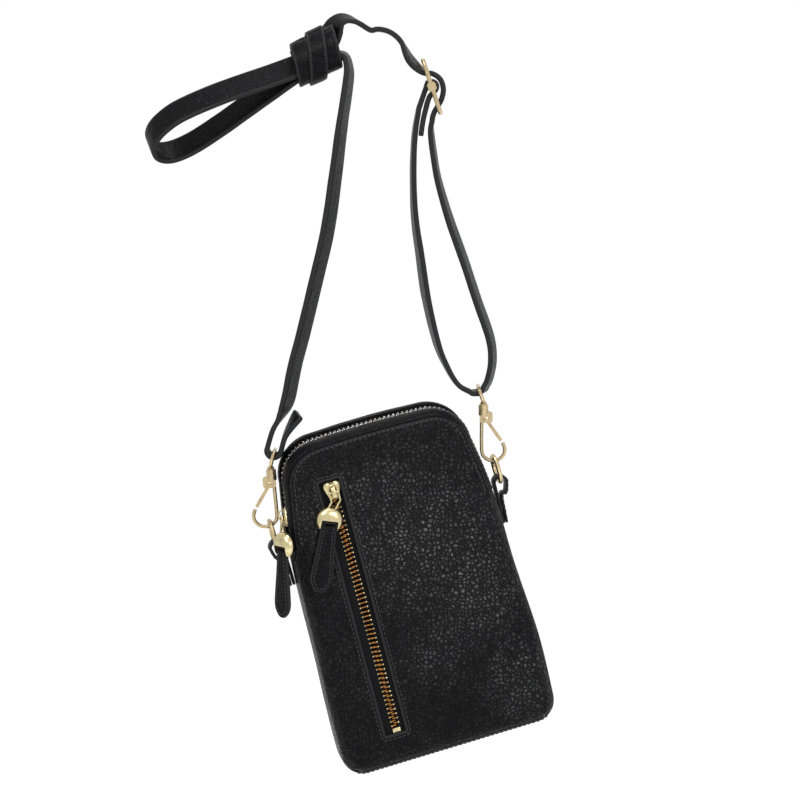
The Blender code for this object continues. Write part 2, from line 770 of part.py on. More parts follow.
def hook_gate(name, side, parent, finish_material):
    """The sprung lever from the pin to the nose."""
    nose = gate_direction()
    length = nose.length - HOOK_WIRE - GAP
    along = nose.normalized()
    square = Vector((-along.z, 0.0, along.x))
    width_shares = [(0.12, 0.56), (0.30, 0.52), (0.75, 0.58), (1.0, 0.50)]
    right = [along * length * x + square * GATE_EYE * y for x, y in width_shares]
    left = [along * length * x - square * GATE_EYE * y for x, y in width_shares[::-1]]
    start = math.atan2(along.z, along.x) - GATE_NOTCH / 2
    eye = []
    steps = 8
    for i in range(steps + 1):
        turn = start - (2 * math.pi - GATE_NOTCH) * i / steps
        eye.append(Vector((GATE_EYE * math.cos(turn), 0.0, GATE_EYE * math.sin(turn))))
    outline = [(point.x, point.z) for point in right + left + eye]
    made = finish(name, plate(outline, GATE_THICKNESS, side), finish_material, parent)
    pin_cut = finish(name + "_pin_guide", cross_rod(PIN_RADIUS + GAP, 12, HOOK_THICKNESS), None, parent)
    boolean(made, pin_cut, "DIFFERENCE")
    return made


def gate_pin(name, parent, finish_material):
    """A rivet with a head on each cheek."""
    shank = HOOK_THICKNESS / 2 + GAP
    rows = [
        (-shank - PIN_RADIUS / 2, PIN_RADIUS * 1.3), (-shank - PIN_RADIUS / 4, PIN_HEAD), (-shank, PIN_HEAD),
        (-shank, PIN_RADIUS), (shank, PIN_RADIUS), (shank, PIN_HEAD), (shank + PIN_RADIUS / 4, PIN_HEAD),
        (shank + PIN_RADIUS / 2, PIN_RADIUS * 1.3),
    ]
    rings = [[Vector((px, y, pz)) for px, pz in circle(radius, 12)] for y, radius in rows]
    return finish(name, loft(rings), finish_material, parent)


def hook_eye(name, side, parent, finish_material):
    """The strap's D-shaped eye with its stem and the flange that holds it in the hook's neck."""
    half, low, high = EYE_HALF_WIDTH, EYE_RISE - EYE_HEIGHT, EYE_RISE
    corner_shares = [(-0.24, 0.0), (-0.86, 0.30), (-1.0, 0.62), (-0.96, 0.94), (-0.88, 1.0)]
    corners = corner_shares + [(-y, z) for y, z in corner_shares[::-1]]
    lean = (EYE_SET + STEM_X) / EYE_HEIGHT
    points = []
    for y_share, z_share in corners:
        z = low + (high - low) * z_share
        points.append(Vector((STEM_X - (z - low) * lean, y_share * half, z)))
    upright = Vector((1.0, 0.0, lean)).normalized()
    upright.z *= side
    loop = tube(mirror_points(points, side), EYE_WIRE, 8, upright, closed=True)
    made = finish(name, loop, finish_material, parent)
    rows = [
        (HEAD_LIFT + HEAD_HEIGHT / 2 - FLANGE_DEEP + GAP, FLANGE_RADIUS), (FLANGE_TOP, FLANGE_RADIUS),
        (FLANGE_TOP, STEM_RADIUS), (NECK_TOP + GAP, STEM_RADIUS), (NECK_TOP + GAP, COLLAR_RADIUS * 0.75),
        (low - EYE_WIRE, COLLAR_RADIUS * 0.75), (low, STEM_RADIUS * 1.5),
    ]
    rings = [[Vector(((px + STEM_X) * side, py, z)) for px, py in circle(radius, 16)] for z, radius in rows]
    stem = finish(name + "_stem_guide", loft(rings), None, parent)
    boolean(made, stem, "UNION")
    return made


# Strap


def along_chord(start, end, depths, shares):
    """Route points from hand-chosen shares along and across the line between two points."""
    chord = Vector((end[0] - start[0], 0.0, end[1] - start[1]))
    across = Vector((-chord.z, 0.0, chord.x))
    points = []
    for along, aside in shares:
        point = Vector((start[0], 0.0, start[1])) + chord * along + across * aside
        point.y = depths[0] + (depths[1] - depths[0]) * along
        points.append(point)
    return points


def twisted_ribbon(name, points, twists, finish_material, width=STRAP_WIDTH, thickness=STRAP_THICKNESS):
    """A strap whose width lies along y, turned about its route by twists given as (share, degrees)."""
    widths = []
    last = len(points) - 1
    for i, along in enumerate(tangents(points)):
        share = i / last
        k = next((n for n in range(len(twists) - 1) if twists[n + 1][0] >= share), len(twists) - 2)
        (low, from_turn), (high, to_turn) = twists[k], twists[k + 1]
        turn = math.radians(from_turn + (to_turn - from_turn) * smoothstep(low, high, share))
        depth = Vector((0.0, 1.0, 0.0))
        level = (depth - along * along.dot(depth)).normalized()
        widths.append(level * math.cos(turn) + along.cross(level) * math.sin(turn))
    return finish(name, ribbon(points, widths, width, thickness), finish_material)


# Routes of the strap, chosen by hand as (x, z) in metres or as shares along and across a chord

LEFT_TOP_ROUTE = [
    (-0.0253, -0.0144), (-0.0231, -0.0131), (-0.0202, -0.0120), (-0.0172, -0.0140), (-0.0158, -0.0200),
]
LEFT_RUN_SHARES = [
    (0.026, 0.005), (0.093, 0.010), (0.155, 0.014), (0.282, 0.025), (0.416, 0.034), (0.553, 0.032),
    (0.682, 0.029), (0.773, 0.025), (0.863, 0.026), (0.909, 0.017), (0.950, 0.004),
]
LEFT_TAIL_ROUTE = [(-0.0510, -0.2215), (-0.0470, -0.2145), (-0.0437, -0.2096)]
PEG_START_ROUTE = [
    (-0.0295, -0.0053), (-0.0272, -0.0037), (-0.0252, -0.0004), (-0.0232, 0.0036), (-0.0202, 0.0064),
    (-0.0165, 0.0070), (-0.0125, 0.0058), (-0.0090, 0.0040),
]
PEG_END_ROUTE = [
    (0.0174, -0.0143), (0.0213, -0.0188), (0.0256, -0.0221), (0.0303, -0.0228), (0.0344, -0.0258),
    (0.0361, -0.0309), (0.0353, -0.0361), (0.0331, -0.0404), (0.0312, -0.0437), (0.0300, -0.0472),
]
RIGHT_STRAND_SHARES = [
    (0.006, -0.001), (0.051, -0.014), (0.206, -0.022), (0.361, -0.010), (0.522, 0.013), (0.682, 0.033),
    (0.823, 0.052), (0.906, 0.045), (0.970, 0.021),
]
LEFT_STRAND_SHARES = [
    (0.027, 0.033), (0.089, 0.061), (0.173, 0.082), (0.322, 0.095), (0.461, 0.095), (0.601, 0.093),
    (0.735, 0.078), (0.858, 0.055), (0.946, 0.028),
]
STRAND_TAIL_ROUTE = [(0.0284, -0.0356), (0.0262, -0.0430), (0.0247, -0.0500), (0.0238, -0.0567)]
BIGHT_ROUTE = [
    (-0.0130, 0.00175), (0.0, 0.0020), (0.020, 0.0055), (0.036, 0.0085), (0.052, 0.0115), (0.068, 0.0135),
    (0.080, 0.0125), (0.088, 0.0080), (0.092, 0.0), (0.091, -0.0090), (0.085, -0.0165), (0.074, -0.0205),
    (0.062, -0.0200), (0.046, -0.0165), (0.030, -0.0115), (0.014, -0.0060), (0.0, -0.0020),
    (-0.0130, -0.00175),
]
BIGHT_ALONG = Vector((-0.906, 0.0, -0.424)).normalized()
BIGHT_WIDTH = Vector((0.313, -0.676, -0.667)).normalized()


def route(points):
    """Points of a route at mid depth."""
    return [Vector((x, 0.0, z)) for x, z in points]


def eye_bar(side, frame_matrix):
    """The middle of a hook eye's top bar."""
    return frame_matrix @ Vector((-EYE_SET * side, 0.0, EYE_RISE))


def strap_left_run(eye, finish_material):
    """From the knot down to the left hook, round its eye and up again to the free end."""
    top = route(LEFT_TOP_ROUTE)
    loop_centre = eye + Vector((0.0, 0.0, STRAP_LOOP - STRAP_THICKNESS / 2 - EYE_WIRE - GAP))
    left_edge = loop_centre - Vector((STRAP_LOOP, 0.0, 0.0))
    run = along_chord(
        (top[-1].x, top[-1].z), (left_edge.x, left_edge.z), (0.0, eye.y), LEFT_RUN_SHARES
    )
    points = smooth_path(top + run + [left_edge], 2)
    for i in range(1, 9):
        angle = math.pi + math.pi * i / 8
        points.append(loop_centre + STRAP_LOOP * Vector((math.cos(angle), 0.0, math.sin(angle))))
    tail = [points[-1]] + [Vector((x, eye.y, z)) for x, z in LEFT_TAIL_ROUTE]
    points += smooth_path(tail, 1)[1:]
    twists = [(0.0, 0.0), (0.25, 0.0), (0.5, 16.0), (0.66, 16.0), (0.76, 0.0), (1.0, 0.0)]
    return twisted_ribbon("strap_left_run", points, twists, finish_material)


def strap_peg_run(finish_material):
    """From the knot over the support and through the adjuster, past its centre bar."""
    arch_radius = SUPPORT_RADIUS + STRAP_THICKNESS / 2
    arch = []
    for degrees in (104, 92, 80, 68, 56, 44, 32, 20):
        angle = math.radians(degrees)
        height = arch_radius * math.sin(angle) - SUPPORT_RADIUS
        arch.append(Vector((arch_radius * math.cos(angle), 0.0, height)))
    points = smooth_path(route(PEG_START_ROUTE) + arch + route(PEG_END_ROUTE), 2)
    twists = [(0.0, 60.0), (0.28, 0.0), (0.56, 0.0), (0.66, 12.0), (0.76, 0.0), (1.0, 0.0)]
    return twisted_ribbon("strap_peg_run", points, twists, finish_material)


def strap_return_run(eye, finish_material):
    """From the adjuster down to the right hook, round its eye and up to the sewn end on the centre bar."""
    start = PEG_END_ROUTE[-1]
    reach = STRAP_THICKNESS / 2 + EYE_WIRE + GAP
    turn_shares = [(0, 1.4), (-35, 1.2), (-75, 1.08), (-110, 1.2), (-138, 1.7), (-154, 2.0)]
    right_edge = eye + Vector((reach * turn_shares[0][1], 0.0, 0.0))
    down = along_chord(start, (right_edge.x, right_edge.z), (0.0, eye.y), RIGHT_STRAND_SHARES)
    turn = []
    for degrees, size in turn_shares:
        angle = math.radians(degrees)
        turn.append(eye + reach * size * Vector((math.cos(angle), 0.0, math.sin(angle))))
    bar = Vector((ADJUSTER_OUT, 0.0, -ADJUSTER_DROP))
    wrap_radius = STRAP_THICKNESS / 2 + ADJUSTER_BAR + GAP
    out_share, drop_share = 1.35, 0.8
    left_end = bar - wrap_radius * Vector((out_share, 0.0, drop_share))
    up = along_chord(
        (turn[-1].x, turn[-1].z), (left_end.x, left_end.z), (eye.y, 0.0), LEFT_STRAND_SHARES
    )
    points = smooth_path(down + turn + up, 2)
    wrap = []
    wrap_shares = [
        (185, 1.08), (150, 1.0), (115, 1.0), (80, 1.0), (45, 1.0), (10, 1.0), (-25, 1.0), (-60, 1.1),
    ]
    for degrees, size in wrap_shares:
        angle = math.radians(degrees)
        wrap.append(bar + wrap_radius * size * Vector((math.cos(angle), 0.0, math.sin(angle))))
    points += smooth_path([points[-1]] + wrap + route(STRAND_TAIL_ROUTE), 1)[1:]
    twists = [
        (0.0, 0.0), (0.12, 0.0), (0.26, 11.0), (0.34, 0.0), (0.5, 0.0), (0.62, 8.0), (0.74, 0.0), (1.0, 0.0),
    ]
    return twisted_ribbon("strap_return_run", points, twists, finish_material)


def bight_height():
    """The direction square to the bight's length and width."""
    return BIGHT_WIDTH.cross(BIGHT_ALONG).normalized()


def strap_bight(finish_material):
    """The doubled spare length that sticks out of the knot."""
    start = Vector((-BIGHT_OUT, 0.0, -BIGHT_DROP))
    points = [start + BIGHT_ALONG * a + bight_height() * b for a, b in BIGHT_ROUTE]
    bm = ribbon(points, [BIGHT_WIDTH] * len(points), STRAP_WIDTH, STRAP_THICKNESS)
    return finish("strap_bight", bm, finish_material)


def strap_knot(finish_material):
    """The knot's outer wrap, with a blind pocket where the bight's two strands go in."""
    start = Vector((-BIGHT_OUT, 0.0, -BIGHT_DROP))
    up = Vector((-BIGHT_ALONG.z, 0.0, BIGHT_ALONG.x)) * -1
    middle = start + up * KNOT_RISE
    swell_shares = [(0.0, 0.80), (0.06, 0.93), (0.25, 1.0), (0.6, 1.0), (0.9, 0.94), (1.0, 0.84)]
    rings = []
    for along, size in swell_shares:
        centre = middle - BIGHT_ALONG * (KNOT_START + KNOT_LENGTH * along)
        rings.append([
            centre + BIGHT_WIDTH * (x * size * KNOT_WIDTH / 2) + bight_height() * (y * size * KNOT_HEIGHT / 2)
            for x, y in circle(1.0, 20)
        ])
    knot = finish("strap_knot", loft(rings), finish_material)
    half, high = STRAP_WIDTH / 2 + GAP, STRAP_THICKNESS + 2 * GAP
    rings = []
    for along in (OVERRUN, -KNOT_POCKET - GAP):
        centre = start + BIGHT_ALONG * along
        rings.append([
            centre + BIGHT_WIDTH * x + bight_height() * y
            for x, y in box_outline(2 * half, 2 * high, GAP)
        ])
    boolean(knot, finish("strap_knot_pocket_guide", loft(rings), None), "DIFFERENCE")
    return knot


# Adjuster


def adjuster(finish_material):
    """A rectangular wire frame and the centre bar that clamps its rails."""
    middle = Vector((ADJUSTER_OUT, 0.0, -ADJUSTER_DROP))
    along = Vector((math.sin(ADJUSTER_TURN), 0.0, -math.cos(ADJUSTER_TURN)))
    depth = Vector((0.0, 1.0, 0.0))
    square = depth.cross(along)
    rail = STRAP_WIDTH / 2 + GAP + CLAMP_LENGTH / 2
    half = ADJUSTER_LENGTH / 2
    corner = 2 * ADJUSTER_WIRE
    points = []
    for turn, side_y, side_a in ((0, 1, 1), (90, -1, 1), (180, -1, -1), (270, 1, -1)):
        centre = Vector((side_y * (rail - corner), 0.0, side_a * (half - corner)))
        for step in range(4):
            angle = math.radians(turn + 30 * step)
            x, y = centre.x + corner * math.cos(angle), centre.z + corner * math.sin(angle)
            points.append(depth * x + along * y)
    frame = finish("adjuster_frame", tube(points, ADJUSTER_WIRE, 8, square, closed=True), finish_material)
    frame.location = middle

    rows = [[along * x + square * y + depth * z for x, y in circle(ADJUSTER_BAR, 12)] for z in (-rail, rail)]
    bar = finish("adjuster_bar", loft(rows), finish_material)
    bar.location = middle
    for side in (-1, 1):
        block = box_outline(CLAMP_SIZE, CLAMP_SIZE, CLAMP_SIZE / 6)
        rows = [
            [along * x + square * y + depth * (side * rail + z) for x, y in block]
            for z in (-CLAMP_LENGTH / 2, CLAMP_LENGTH / 2)
        ]
        clamp = finish(f"clamp_guide_{side}", loft(rows), None)
        clamp.location = middle
        boolean(bar, clamp, "UNION")
    for side in (-1, 1):
        rows = [
            [along * z + square * y + depth * (side * rail + x) for x, y in circle(ADJUSTER_WIRE + GAP, 12)]
            for z in (-CLAMP_SIZE, CLAMP_SIZE)
        ]
        bore = finish(f"rail_bore_guide_{side}", loft(rows), None)
        bore.location = middle
        boolean(bar, bore, "DIFFERENCE")


# Pocket


def pocket_middle():
    """The pocket chain's place across the front panel."""
    return -(WINDOW_LEFT - POCKET_CHAIN_INSET)


def slab(outline, near, far):
    """A flat solid drawn in u and v, between two depths."""
    return loft([[Vector((u, w, v)) for u, v in outline] for w in (near, far)])


def rectangle(left, right, low, high):
    """Four corners in u and v."""
    return [(left, low), (right, low), (right, high), (left, high)]


def panel_inner():
    """Depth of the front panel's inner face on its flat middle."""
    return -(HALF_DEPTH + PANEL_CROWN)


def pocket(bag, leather, tape, brass, puller_leather, cloth):
    """Tapes, teeth, stop, slider and puller behind the window, and the pouch behind them."""
    middle = pocket_middle()
    window_top = WINDOW_BASE + WINDOW_HEIGHT
    near = panel_inner() + GAP
    far = near + TAPE_THICKNESS
    low, high = WINDOW_BASE - TAPE_MARGIN, window_top + TAPE_MARGIN
    for name, side in (("pocket_tape_left", -1), ("pocket_tape_right", 1)):
        edges = sorted((middle + side * (BEAD_OUTER + GAP), middle + side * POCKET_TAPE_HALF))
        finish(name, slab(rectangle(*edges, low, high), near, far), tape, bag)
    chain_w = (near + far) / 2
    stop_top = WINDOW_BASE + STOP_LENGTH + GAP
    chain_low = stop_top + GAP + TOOTH_PITCH / 4
    chain_high = POCKET_SLIDER_HEIGHT + SLIDER_LENGTH / 2 - DIAMOND_LENGTH - GAP
    count = int((chain_high - chain_low - TOOTH_PITCH) / TOOTH_PITCH)

    def chain(distance, offset, height):
        return Vector((middle + offset, chain_w - height, distance))

    comb("pocket_teeth_left", chain, -1, chain_low, count, brass, bag)
    comb("pocket_teeth_right", chain, 1, chain_low + TOOTH_PITCH / 2, count, brass, bag)
    stop = box_outline(2 * BEAD_OUTER, STOP_LENGTH, STOP_LENGTH / 6)
    stop = [(middle + u, WINDOW_BASE + GAP + STOP_LENGTH / 2 + v) for u, v in stop]
    stop_half = BEAD_HEIGHT / 2
    finish("pocket_bottom_stop", slab(stop, chain_w - stop_half, chain_w + stop_half), brass, bag)

    travel = Vector((0.0, 0.0, -1.0))
    normal = Vector((0.0, -1.0, 0.0))
    seat = mount_matrix(Vector((middle, chain_w, POCKET_SLIDER_HEIGHT)), travel, normal)
    slider("pocket_slider", seat, bag, brass)
    crown_eye = Vector((middle, chain_w, POCKET_SLIDER_HEIGHT)) + normal * CROWN_EYE_HEIGHT
    hinge = empty("pocket_puller", crown_eye, parent=bag)
    down = Vector((-math.sin(POCKET_PULL_TURN), 0.0, -math.cos(POCKET_PULL_TURN)))
    panel_out = HALF_DEPTH + PANEL_CROWN + LEATHER + GAP + CAP_THICKNESS * CAP_SEAT_SHARE
    lift = normal * (panel_out - (CROWN_EYE_HEIGHT - chain_w))
    puller(
        "pocket_pull", Vector((BAIL_HALF_WIDTH, 0.0, 0.0)), travel * BAIL_DROP,
        down * POCKET_PULL_REACH + lift, down, normal, hinge, brass, puller_leather,
    )

    pouch_front = far + BEAD_HEIGHT / 2 + SLIDER_PLATE + 2 * GAP - TAPE_THICKNESS / 2
    pouch_low, pouch_high = WINDOW_BASE - POUCH_MARGIN, window_top + POUCH_MARGIN
    outer = rectangle(-POUCH_HALF_WIDTH, POUCH_HALF_WIDTH, pouch_low, pouch_high)
    wall = LINING_WALL
    leaf = finish("pocket_pouch_front", slab(outer, pouch_front, pouch_front + wall), cloth, bag)
    mouth = rectangle(middle - POUCH_MOUTH / 2, middle + POUCH_MOUTH / 2, WINDOW_BASE, window_top)
    cut = slab(mouth, pouch_front - OVERRUN, pouch_front + POUCH_DEPTH / 2)
    boolean(leaf, finish("pocket_pouch_mouth_guide", cut, None, bag), "DIFFERENCE")
    tray_front, tray_back = pouch_front + wall + GAP, pouch_front + POUCH_DEPTH
    tray = finish("pocket_pouch_back", slab(outer, tray_front, tray_back), cloth, bag)
    inner = rectangle(-POUCH_HALF_WIDTH + wall, POUCH_HALF_WIDTH - wall, pouch_low + wall, pouch_high - wall)
    hollow = slab(inner, tray_front - OVERRUN, tray_back - wall)
    boolean(tray, finish("pocket_pouch_hollow_guide", hollow, None, bag), "DIFFERENCE")
    return tray_back


def mount_matrix(point, travel, normal):
    """A frame whose x is the slider's travel and whose z points away from the bag."""
    across = normal.cross(travel).normalized()
    rows = [(travel[i], across[i], normal[i], point[i]) for i in range(3)]
    return Matrix((*rows, (0.0, 0.0, 0.0, 1.0)))


def lining(front_w, bag, finish_material):
    """The main compartment's open-topped lining, just inside the gusset."""
    wall = LINING_WALL
    back_w = HALF_DEPTH - 2 * GAP
    low = BOARD_LIFT + BOARD_THICKNESS + GAP
    levels = [low, BASE_CORNER_RADIUS, SHOULDER_HEIGHT, (SHOULDER_HEIGHT + LINING_TOP) / 2, LINING_TOP]
    inset = LEATHER + 2 * GAP

    def row(v, half, thickness):
        near, far = front_w + GAP + thickness, back_w - thickness
        outline = box_outline(2 * (half - thickness), far - near, wall)
        return [Vector((u, w + (near + far) / 2, v)) for u, w in outline]

    halves = [HALF_WIDTH - BASE_CORNER_RADIUS] + [half_width(v) - inset for v in levels[1:]]
    outer = [row(v, half, 0.0) for v, half in zip(levels, halves)]
    inner = [row(max(v, low + wall), half, wall) for v, half in zip(levels, halves)]
    return finish("lining", loft(outer + inner[::-1]), finish_material, bag)


def base_board(bag, finish_material):
    """The stiffener on the base, under the lining."""
    half = HALF_WIDTH - BASE_CORNER_RADIUS
    depth = HALF_DEPTH - 3 * GAP
    rings = []
    for v in (BOARD_LIFT, BOARD_LIFT + BOARD_THICKNESS):
        rings.append([Vector((u, w, v)) for u, w in box_outline(2 * half, 2 * depth, BOARD_THICKNESS)])
    return finish("base_board", loft(rings), finish_material, bag)


def main_zip(bag, strip, tape, steel, brass, puller_leather):
    """Strips, tapes, teeth, slider and puller of the zip over the top."""
    edge = HALF_DEPTH - GAP
    band("zip_strip_front", lambda m: -edge, lambda m: m - STRIP_EDGE, 0.0, STRIP_LEATHER, 4, strip, bag)
    band("zip_strip_back", lambda m: m + STRIP_EDGE, lambda m: edge, 0.0, STRIP_LEATHER, 4, strip, bag)
    sink = STRIP_LEATHER + GAP
    near = BEAD_OUTER + GAP
    band(
        "main_tape_front", lambda m: max(m - TAPE_HALF, -edge), lambda m: m - near, sink, TAPE_THICKNESS, 3,
        tape, bag,
    )
    band("main_tape_back", lambda m: m + near, lambda m: m + TAPE_HALF, sink, TAPE_THICKNESS, 3, tape, bag)
    rest = SLIDER_REST_HEIGHT - ZIP_END_HEIGHT
    first = rest - SLIDER_LENGTH / 2 + DIAMOND_LENGTH + GAP + TOOTH_PITCH / 4
    total = along_zip()[2][-1]
    count = int((total - first - TOOTH_PITCH) / TOOTH_PITCH)
    comb("main_teeth_front", chain_point, -1, first, count, steel, bag)
    comb("main_teeth_back", chain_point, 1, first + TOOTH_PITCH / 2, count, steel, bag)

    start = chain_point(rest, 0.0, 0.0)
    travel = (chain_point(rest + MAIN_TRAVEL, 0.0, 0.0) - start).normalized()
    outside = Vector((-1.0, 0.0, 0.0))
    normal = (outside - travel * outside.dot(travel)).normalized()
    slider("main_slider", mount_matrix(start, travel, normal), bag, brass)
    hinge = empty("main_puller", start + normal * CROWN_EYE_HEIGHT, parent=bag)
    down = Vector((-math.sin(BAG_TILT), 0.0, -math.cos(BAG_TILT)))
    face = Vector((-math.cos(BAG_TILT), 0.0, math.sin(BAG_TILT)))
    forward = Vector((0.0, -1.0, 0.0))
    plane = (face * math.cos(MAIN_PULL_TURN) + forward * math.sin(MAIN_PULL_TURN)).normalized()
    reach = Vector((-MAIN_PULL_OUT, -MAIN_PULL_FORWARD, -MAIN_PULL_DROP))
    bar = normal.cross(travel).normalized() * -BAIL_HALF_WIDTH
    puller(
        "main_pull", bar, travel * -BAIL_DROP + normal * BAIL_WIRE, reach, down, plane, hinge, brass,
        puller_leather,
    )


def hook(name, side, contact, lean, seat, brass):
    """Eye, swivelling body, gate and pin of one snap hook; returns the middle of the eye's bar.

    seat is the bow's point that the ring hangs on.
    """
    turn = Matrix.Rotation(lean, 4, "Y")
    pin = contact - turn @ Vector((seat[0] * HOOK_REACH * side, 0.0, seat[1] * HOOK_REACH))
    frame = Matrix.Translation(pin) @ turn
    stand = empty(name + "_frame", pin, (0.0, lean, 0.0))
    hook_eye(name + "_eye", side, stand, brass)
    swivel = empty(name + "_swivel", (STEM_X * side, 0.0, 0.0), parent=stand)
    shift = Vector((-STEM_X * side, 0.0, 0.0))
    hook_body(name + "_body", side, swivel, brass)
    hook_gate(name + "_gate", side, swivel, brass)
    gate_pin(name + "_gate_pin", swivel, brass)
    for child in swivel.children:
        child.location = shift
    return eye_bar(side, frame)


def build():
    """All sub-parts in place."""
    clear_scene()
    leather = material("pebbled_leather", LEATHER_COLOUR, 0.5)
    side_leather = material("smooth_leather", SIDE_COLOUR, 0.45)
    strap_leather = material("strap_leather", SIDE_COLOUR, 0.4)
    cloth = material("lining_cloth", LINING_COLOUR, 0.9)
    board = material("base_board", LINING_COLOUR, 0.8)
    tape = material("zip_tape", TAPE_COLOUR, 0.9)
    steel = material("gunmetal", STEEL_COLOUR, 0.35, 1.0)
    brass = material("antique_brass", BRASS_COLOUR, 0.35, 1.0)
    hook_metal = material("hook_brass", HOOK_COLOUR, 0.3, 1.0)

    swing = empty("bag_swing", (SWING_X, 0.0, -SWING_DROP), (BAG_PITCH, -BAG_TILT, BAG_TURN))
    bag = empty("bag", (0.0, -RING_BACK, -SWING_HEIGHT), parent=swing)

    front = panel("front_panel", -1, leather, bag)
    window = rectangle(-WINDOW_LEFT, WINDOW_WIDTH - WINDOW_LEFT, WINDOW_BASE, WINDOW_BASE + WINDOW_HEIGHT)
    cut = slab(window, -2 * HALF_DEPTH, -HALF_DEPTH)
    boolean(front, finish("window_guide", cut, None, bag), "DIFFERENCE")
    panel("back_panel", 1, leather, bag)
    gusset(bag, side_leather)
    main_zip(bag, side_leather, tape, steel, brass, strap_leather)
    pouch_back = pocket(bag, side_leather, tape, brass, strap_leather, cloth)
    base_board(bag, board)
    lining(pouch_back, bag, cloth)

    turn = Matrix.Translation(swing.location) @ swing.rotation_euler.to_matrix().to_4x4()
    eyes = {}
    seats = (("left", -1, -LEFT_HOOK_LEAN, BOW_SHARES[3]), ("right", 1, 0.0, BOW_SHARES[4]))
    for name, side, lean, seat in seats:
        ring_tab(name + "_ring_tab", side, bag, side_leather)
        ring(name + "_ring", side, bag, hook_metal)
        contact = turn @ Vector((side * RING_OUT, 0.0, 0.0))
        eyes[name] = hook(name + "_hook", side, contact, lean, seat, hook_metal)

    strap_left_run(eyes["left"], strap_leather)
    strap_knot(strap_leather)
    strap_bight(strap_leather)
    strap_peg_run(strap_leather)
    strap_return_run(eyes["right"], strap_leather)
    adjuster(hook_metal)


build()
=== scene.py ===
# %% [markdown]
# # A small black satchel on a knotted strap
# The bag is soft pebbled leather with a zip over its top, a slanted zip pocket, two snap hooks and one strap.
# The imported model is the frame: every piece below sits where a solid of the model sits and rides on its body.
# The looks are made here: leather that sags, stitches, teeth, thread, edge paint and worn metal; the edges' lighter
# tone is partly a painted rim highlight.

# %% Load the frame
import math

import bmesh
import bpy
from mathutils import Euler, Matrix, Vector, noise
from mathutils.bvhtree import BVHTree


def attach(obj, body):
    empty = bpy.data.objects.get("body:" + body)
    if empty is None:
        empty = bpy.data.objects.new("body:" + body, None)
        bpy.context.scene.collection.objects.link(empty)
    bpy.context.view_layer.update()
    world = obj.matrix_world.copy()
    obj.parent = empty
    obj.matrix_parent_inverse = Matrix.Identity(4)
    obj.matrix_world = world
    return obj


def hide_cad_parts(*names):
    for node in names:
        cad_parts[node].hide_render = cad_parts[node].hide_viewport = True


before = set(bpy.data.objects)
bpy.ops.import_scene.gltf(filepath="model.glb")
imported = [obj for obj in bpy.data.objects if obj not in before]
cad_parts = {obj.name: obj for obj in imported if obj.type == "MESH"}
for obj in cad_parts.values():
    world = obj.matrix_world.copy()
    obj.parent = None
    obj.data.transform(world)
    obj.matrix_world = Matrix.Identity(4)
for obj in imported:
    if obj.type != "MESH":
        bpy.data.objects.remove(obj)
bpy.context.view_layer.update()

# %% [markdown]
# ## Camera, floor and light
# The bag hangs, so the camera looks a little down at it from the front, from about a metre and a half.
# A long lens keeps the strap's uprights parallel. The floor lies well below, pale and plain.
# Large soft lamps suit leather: their reflections are broad, and each pebble catches a small piece of one.

# %% Camera
VIEW_TARGET = Vector((0.0123, 0.0, -0.2030))
VIEW_DISTANCE = 1.5
VIEW_ELEVATION = math.radians(6.5)
LENS = 121.3


def aim(item, place, target):
    """Put a camera or lamp somewhere and point it at a target."""
    item.location = place
    item.rotation_mode = "QUATERNION"
    item.rotation_quaternion = (target - place).to_track_quat("-Z", "Y")
    bpy.context.scene.collection.objects.link(item)


camera = bpy.data.objects.new("camera", bpy.data.cameras.new("camera"))
camera.data.lens = LENS
camera.data.clip_start = 0.05
back_step = Vector((0.0, -math.cos(VIEW_ELEVATION), math.sin(VIEW_ELEVATION)))
aim(camera, VIEW_TARGET + back_step * VIEW_DISTANCE, VIEW_TARGET)
bpy.context.scene.camera = camera
bpy.context.scene.view_settings.view_transform = "Standard"
print("camera at", [round(x, 3) for x in camera.location])

# %% Helper for node trees


def add(tree, kind, inputs=None, **settings):
    """Add a node, set its options, and fill its inputs with values or other nodes' sockets."""
    made = tree.nodes.new(kind)
    for name, value in settings.items():
        setattr(made, name, value)
    for name, value in (inputs or {}).items():
        socket = made.inputs[name]
        if isinstance(value, bpy.types.NodeSocket):
            tree.links.new(value, socket)
        else:
            socket.default_value = value
    return made


def math_node(tree, operation, *values):
    """One step of arithmetic; returns its socket."""
    made = add(tree, "ShaderNodeMath", dict(enumerate(values)), operation=operation)
    return made.outputs[0]


# %% Floor, world and lamps
FLOOR_HEIGHT = -0.80
FLOOR_HALF = 40.0
PALE = (0.86, 0.86, 0.85, 1.0)

floor_mesh = bpy.data.meshes.new("floor")
corners = [(x * FLOOR_HALF, y * FLOOR_HALF, FLOOR_HEIGHT) for x, y in ((-1, -1), (1, -1), (1, 1), (-1, 1))]
floor_mesh.from_pydata(corners, [], [(0, 1, 2, 3)])
floor = bpy.data.objects.new("floor", floor_mesh)
bpy.context.scene.collection.objects.link(floor)

floor_finish = bpy.data.materials.new("pale_floor")
floor_finish.use_nodes = True
tree = floor_finish.node_tree
shader = tree.nodes["Principled BSDF"]
shader.inputs["Base Color"].default_value = PALE
shader.inputs["Roughness"].default_value = 0.9
path = add(tree, "ShaderNodeLightPath")
seen = math_node(tree, "MAXIMUM", path.outputs["Is Camera Ray"], path.outputs["Is Glossy Ray"])
seen = math_node(tree, "MAXIMUM", seen, path.outputs["Is Transmission Ray"])
lift = add(tree, "ShaderNodeMixRGB", {"Fac": seen, "Color1": (0, 0, 0, 1), "Color2": (0.62, 0.62, 0.62, 1)})
tree.links.new(lift.outputs["Color"], shader.inputs["Emission Color"])
shader.inputs["Emission Strength"].default_value = 1.0
floor_mesh.materials.append(floor_finish)

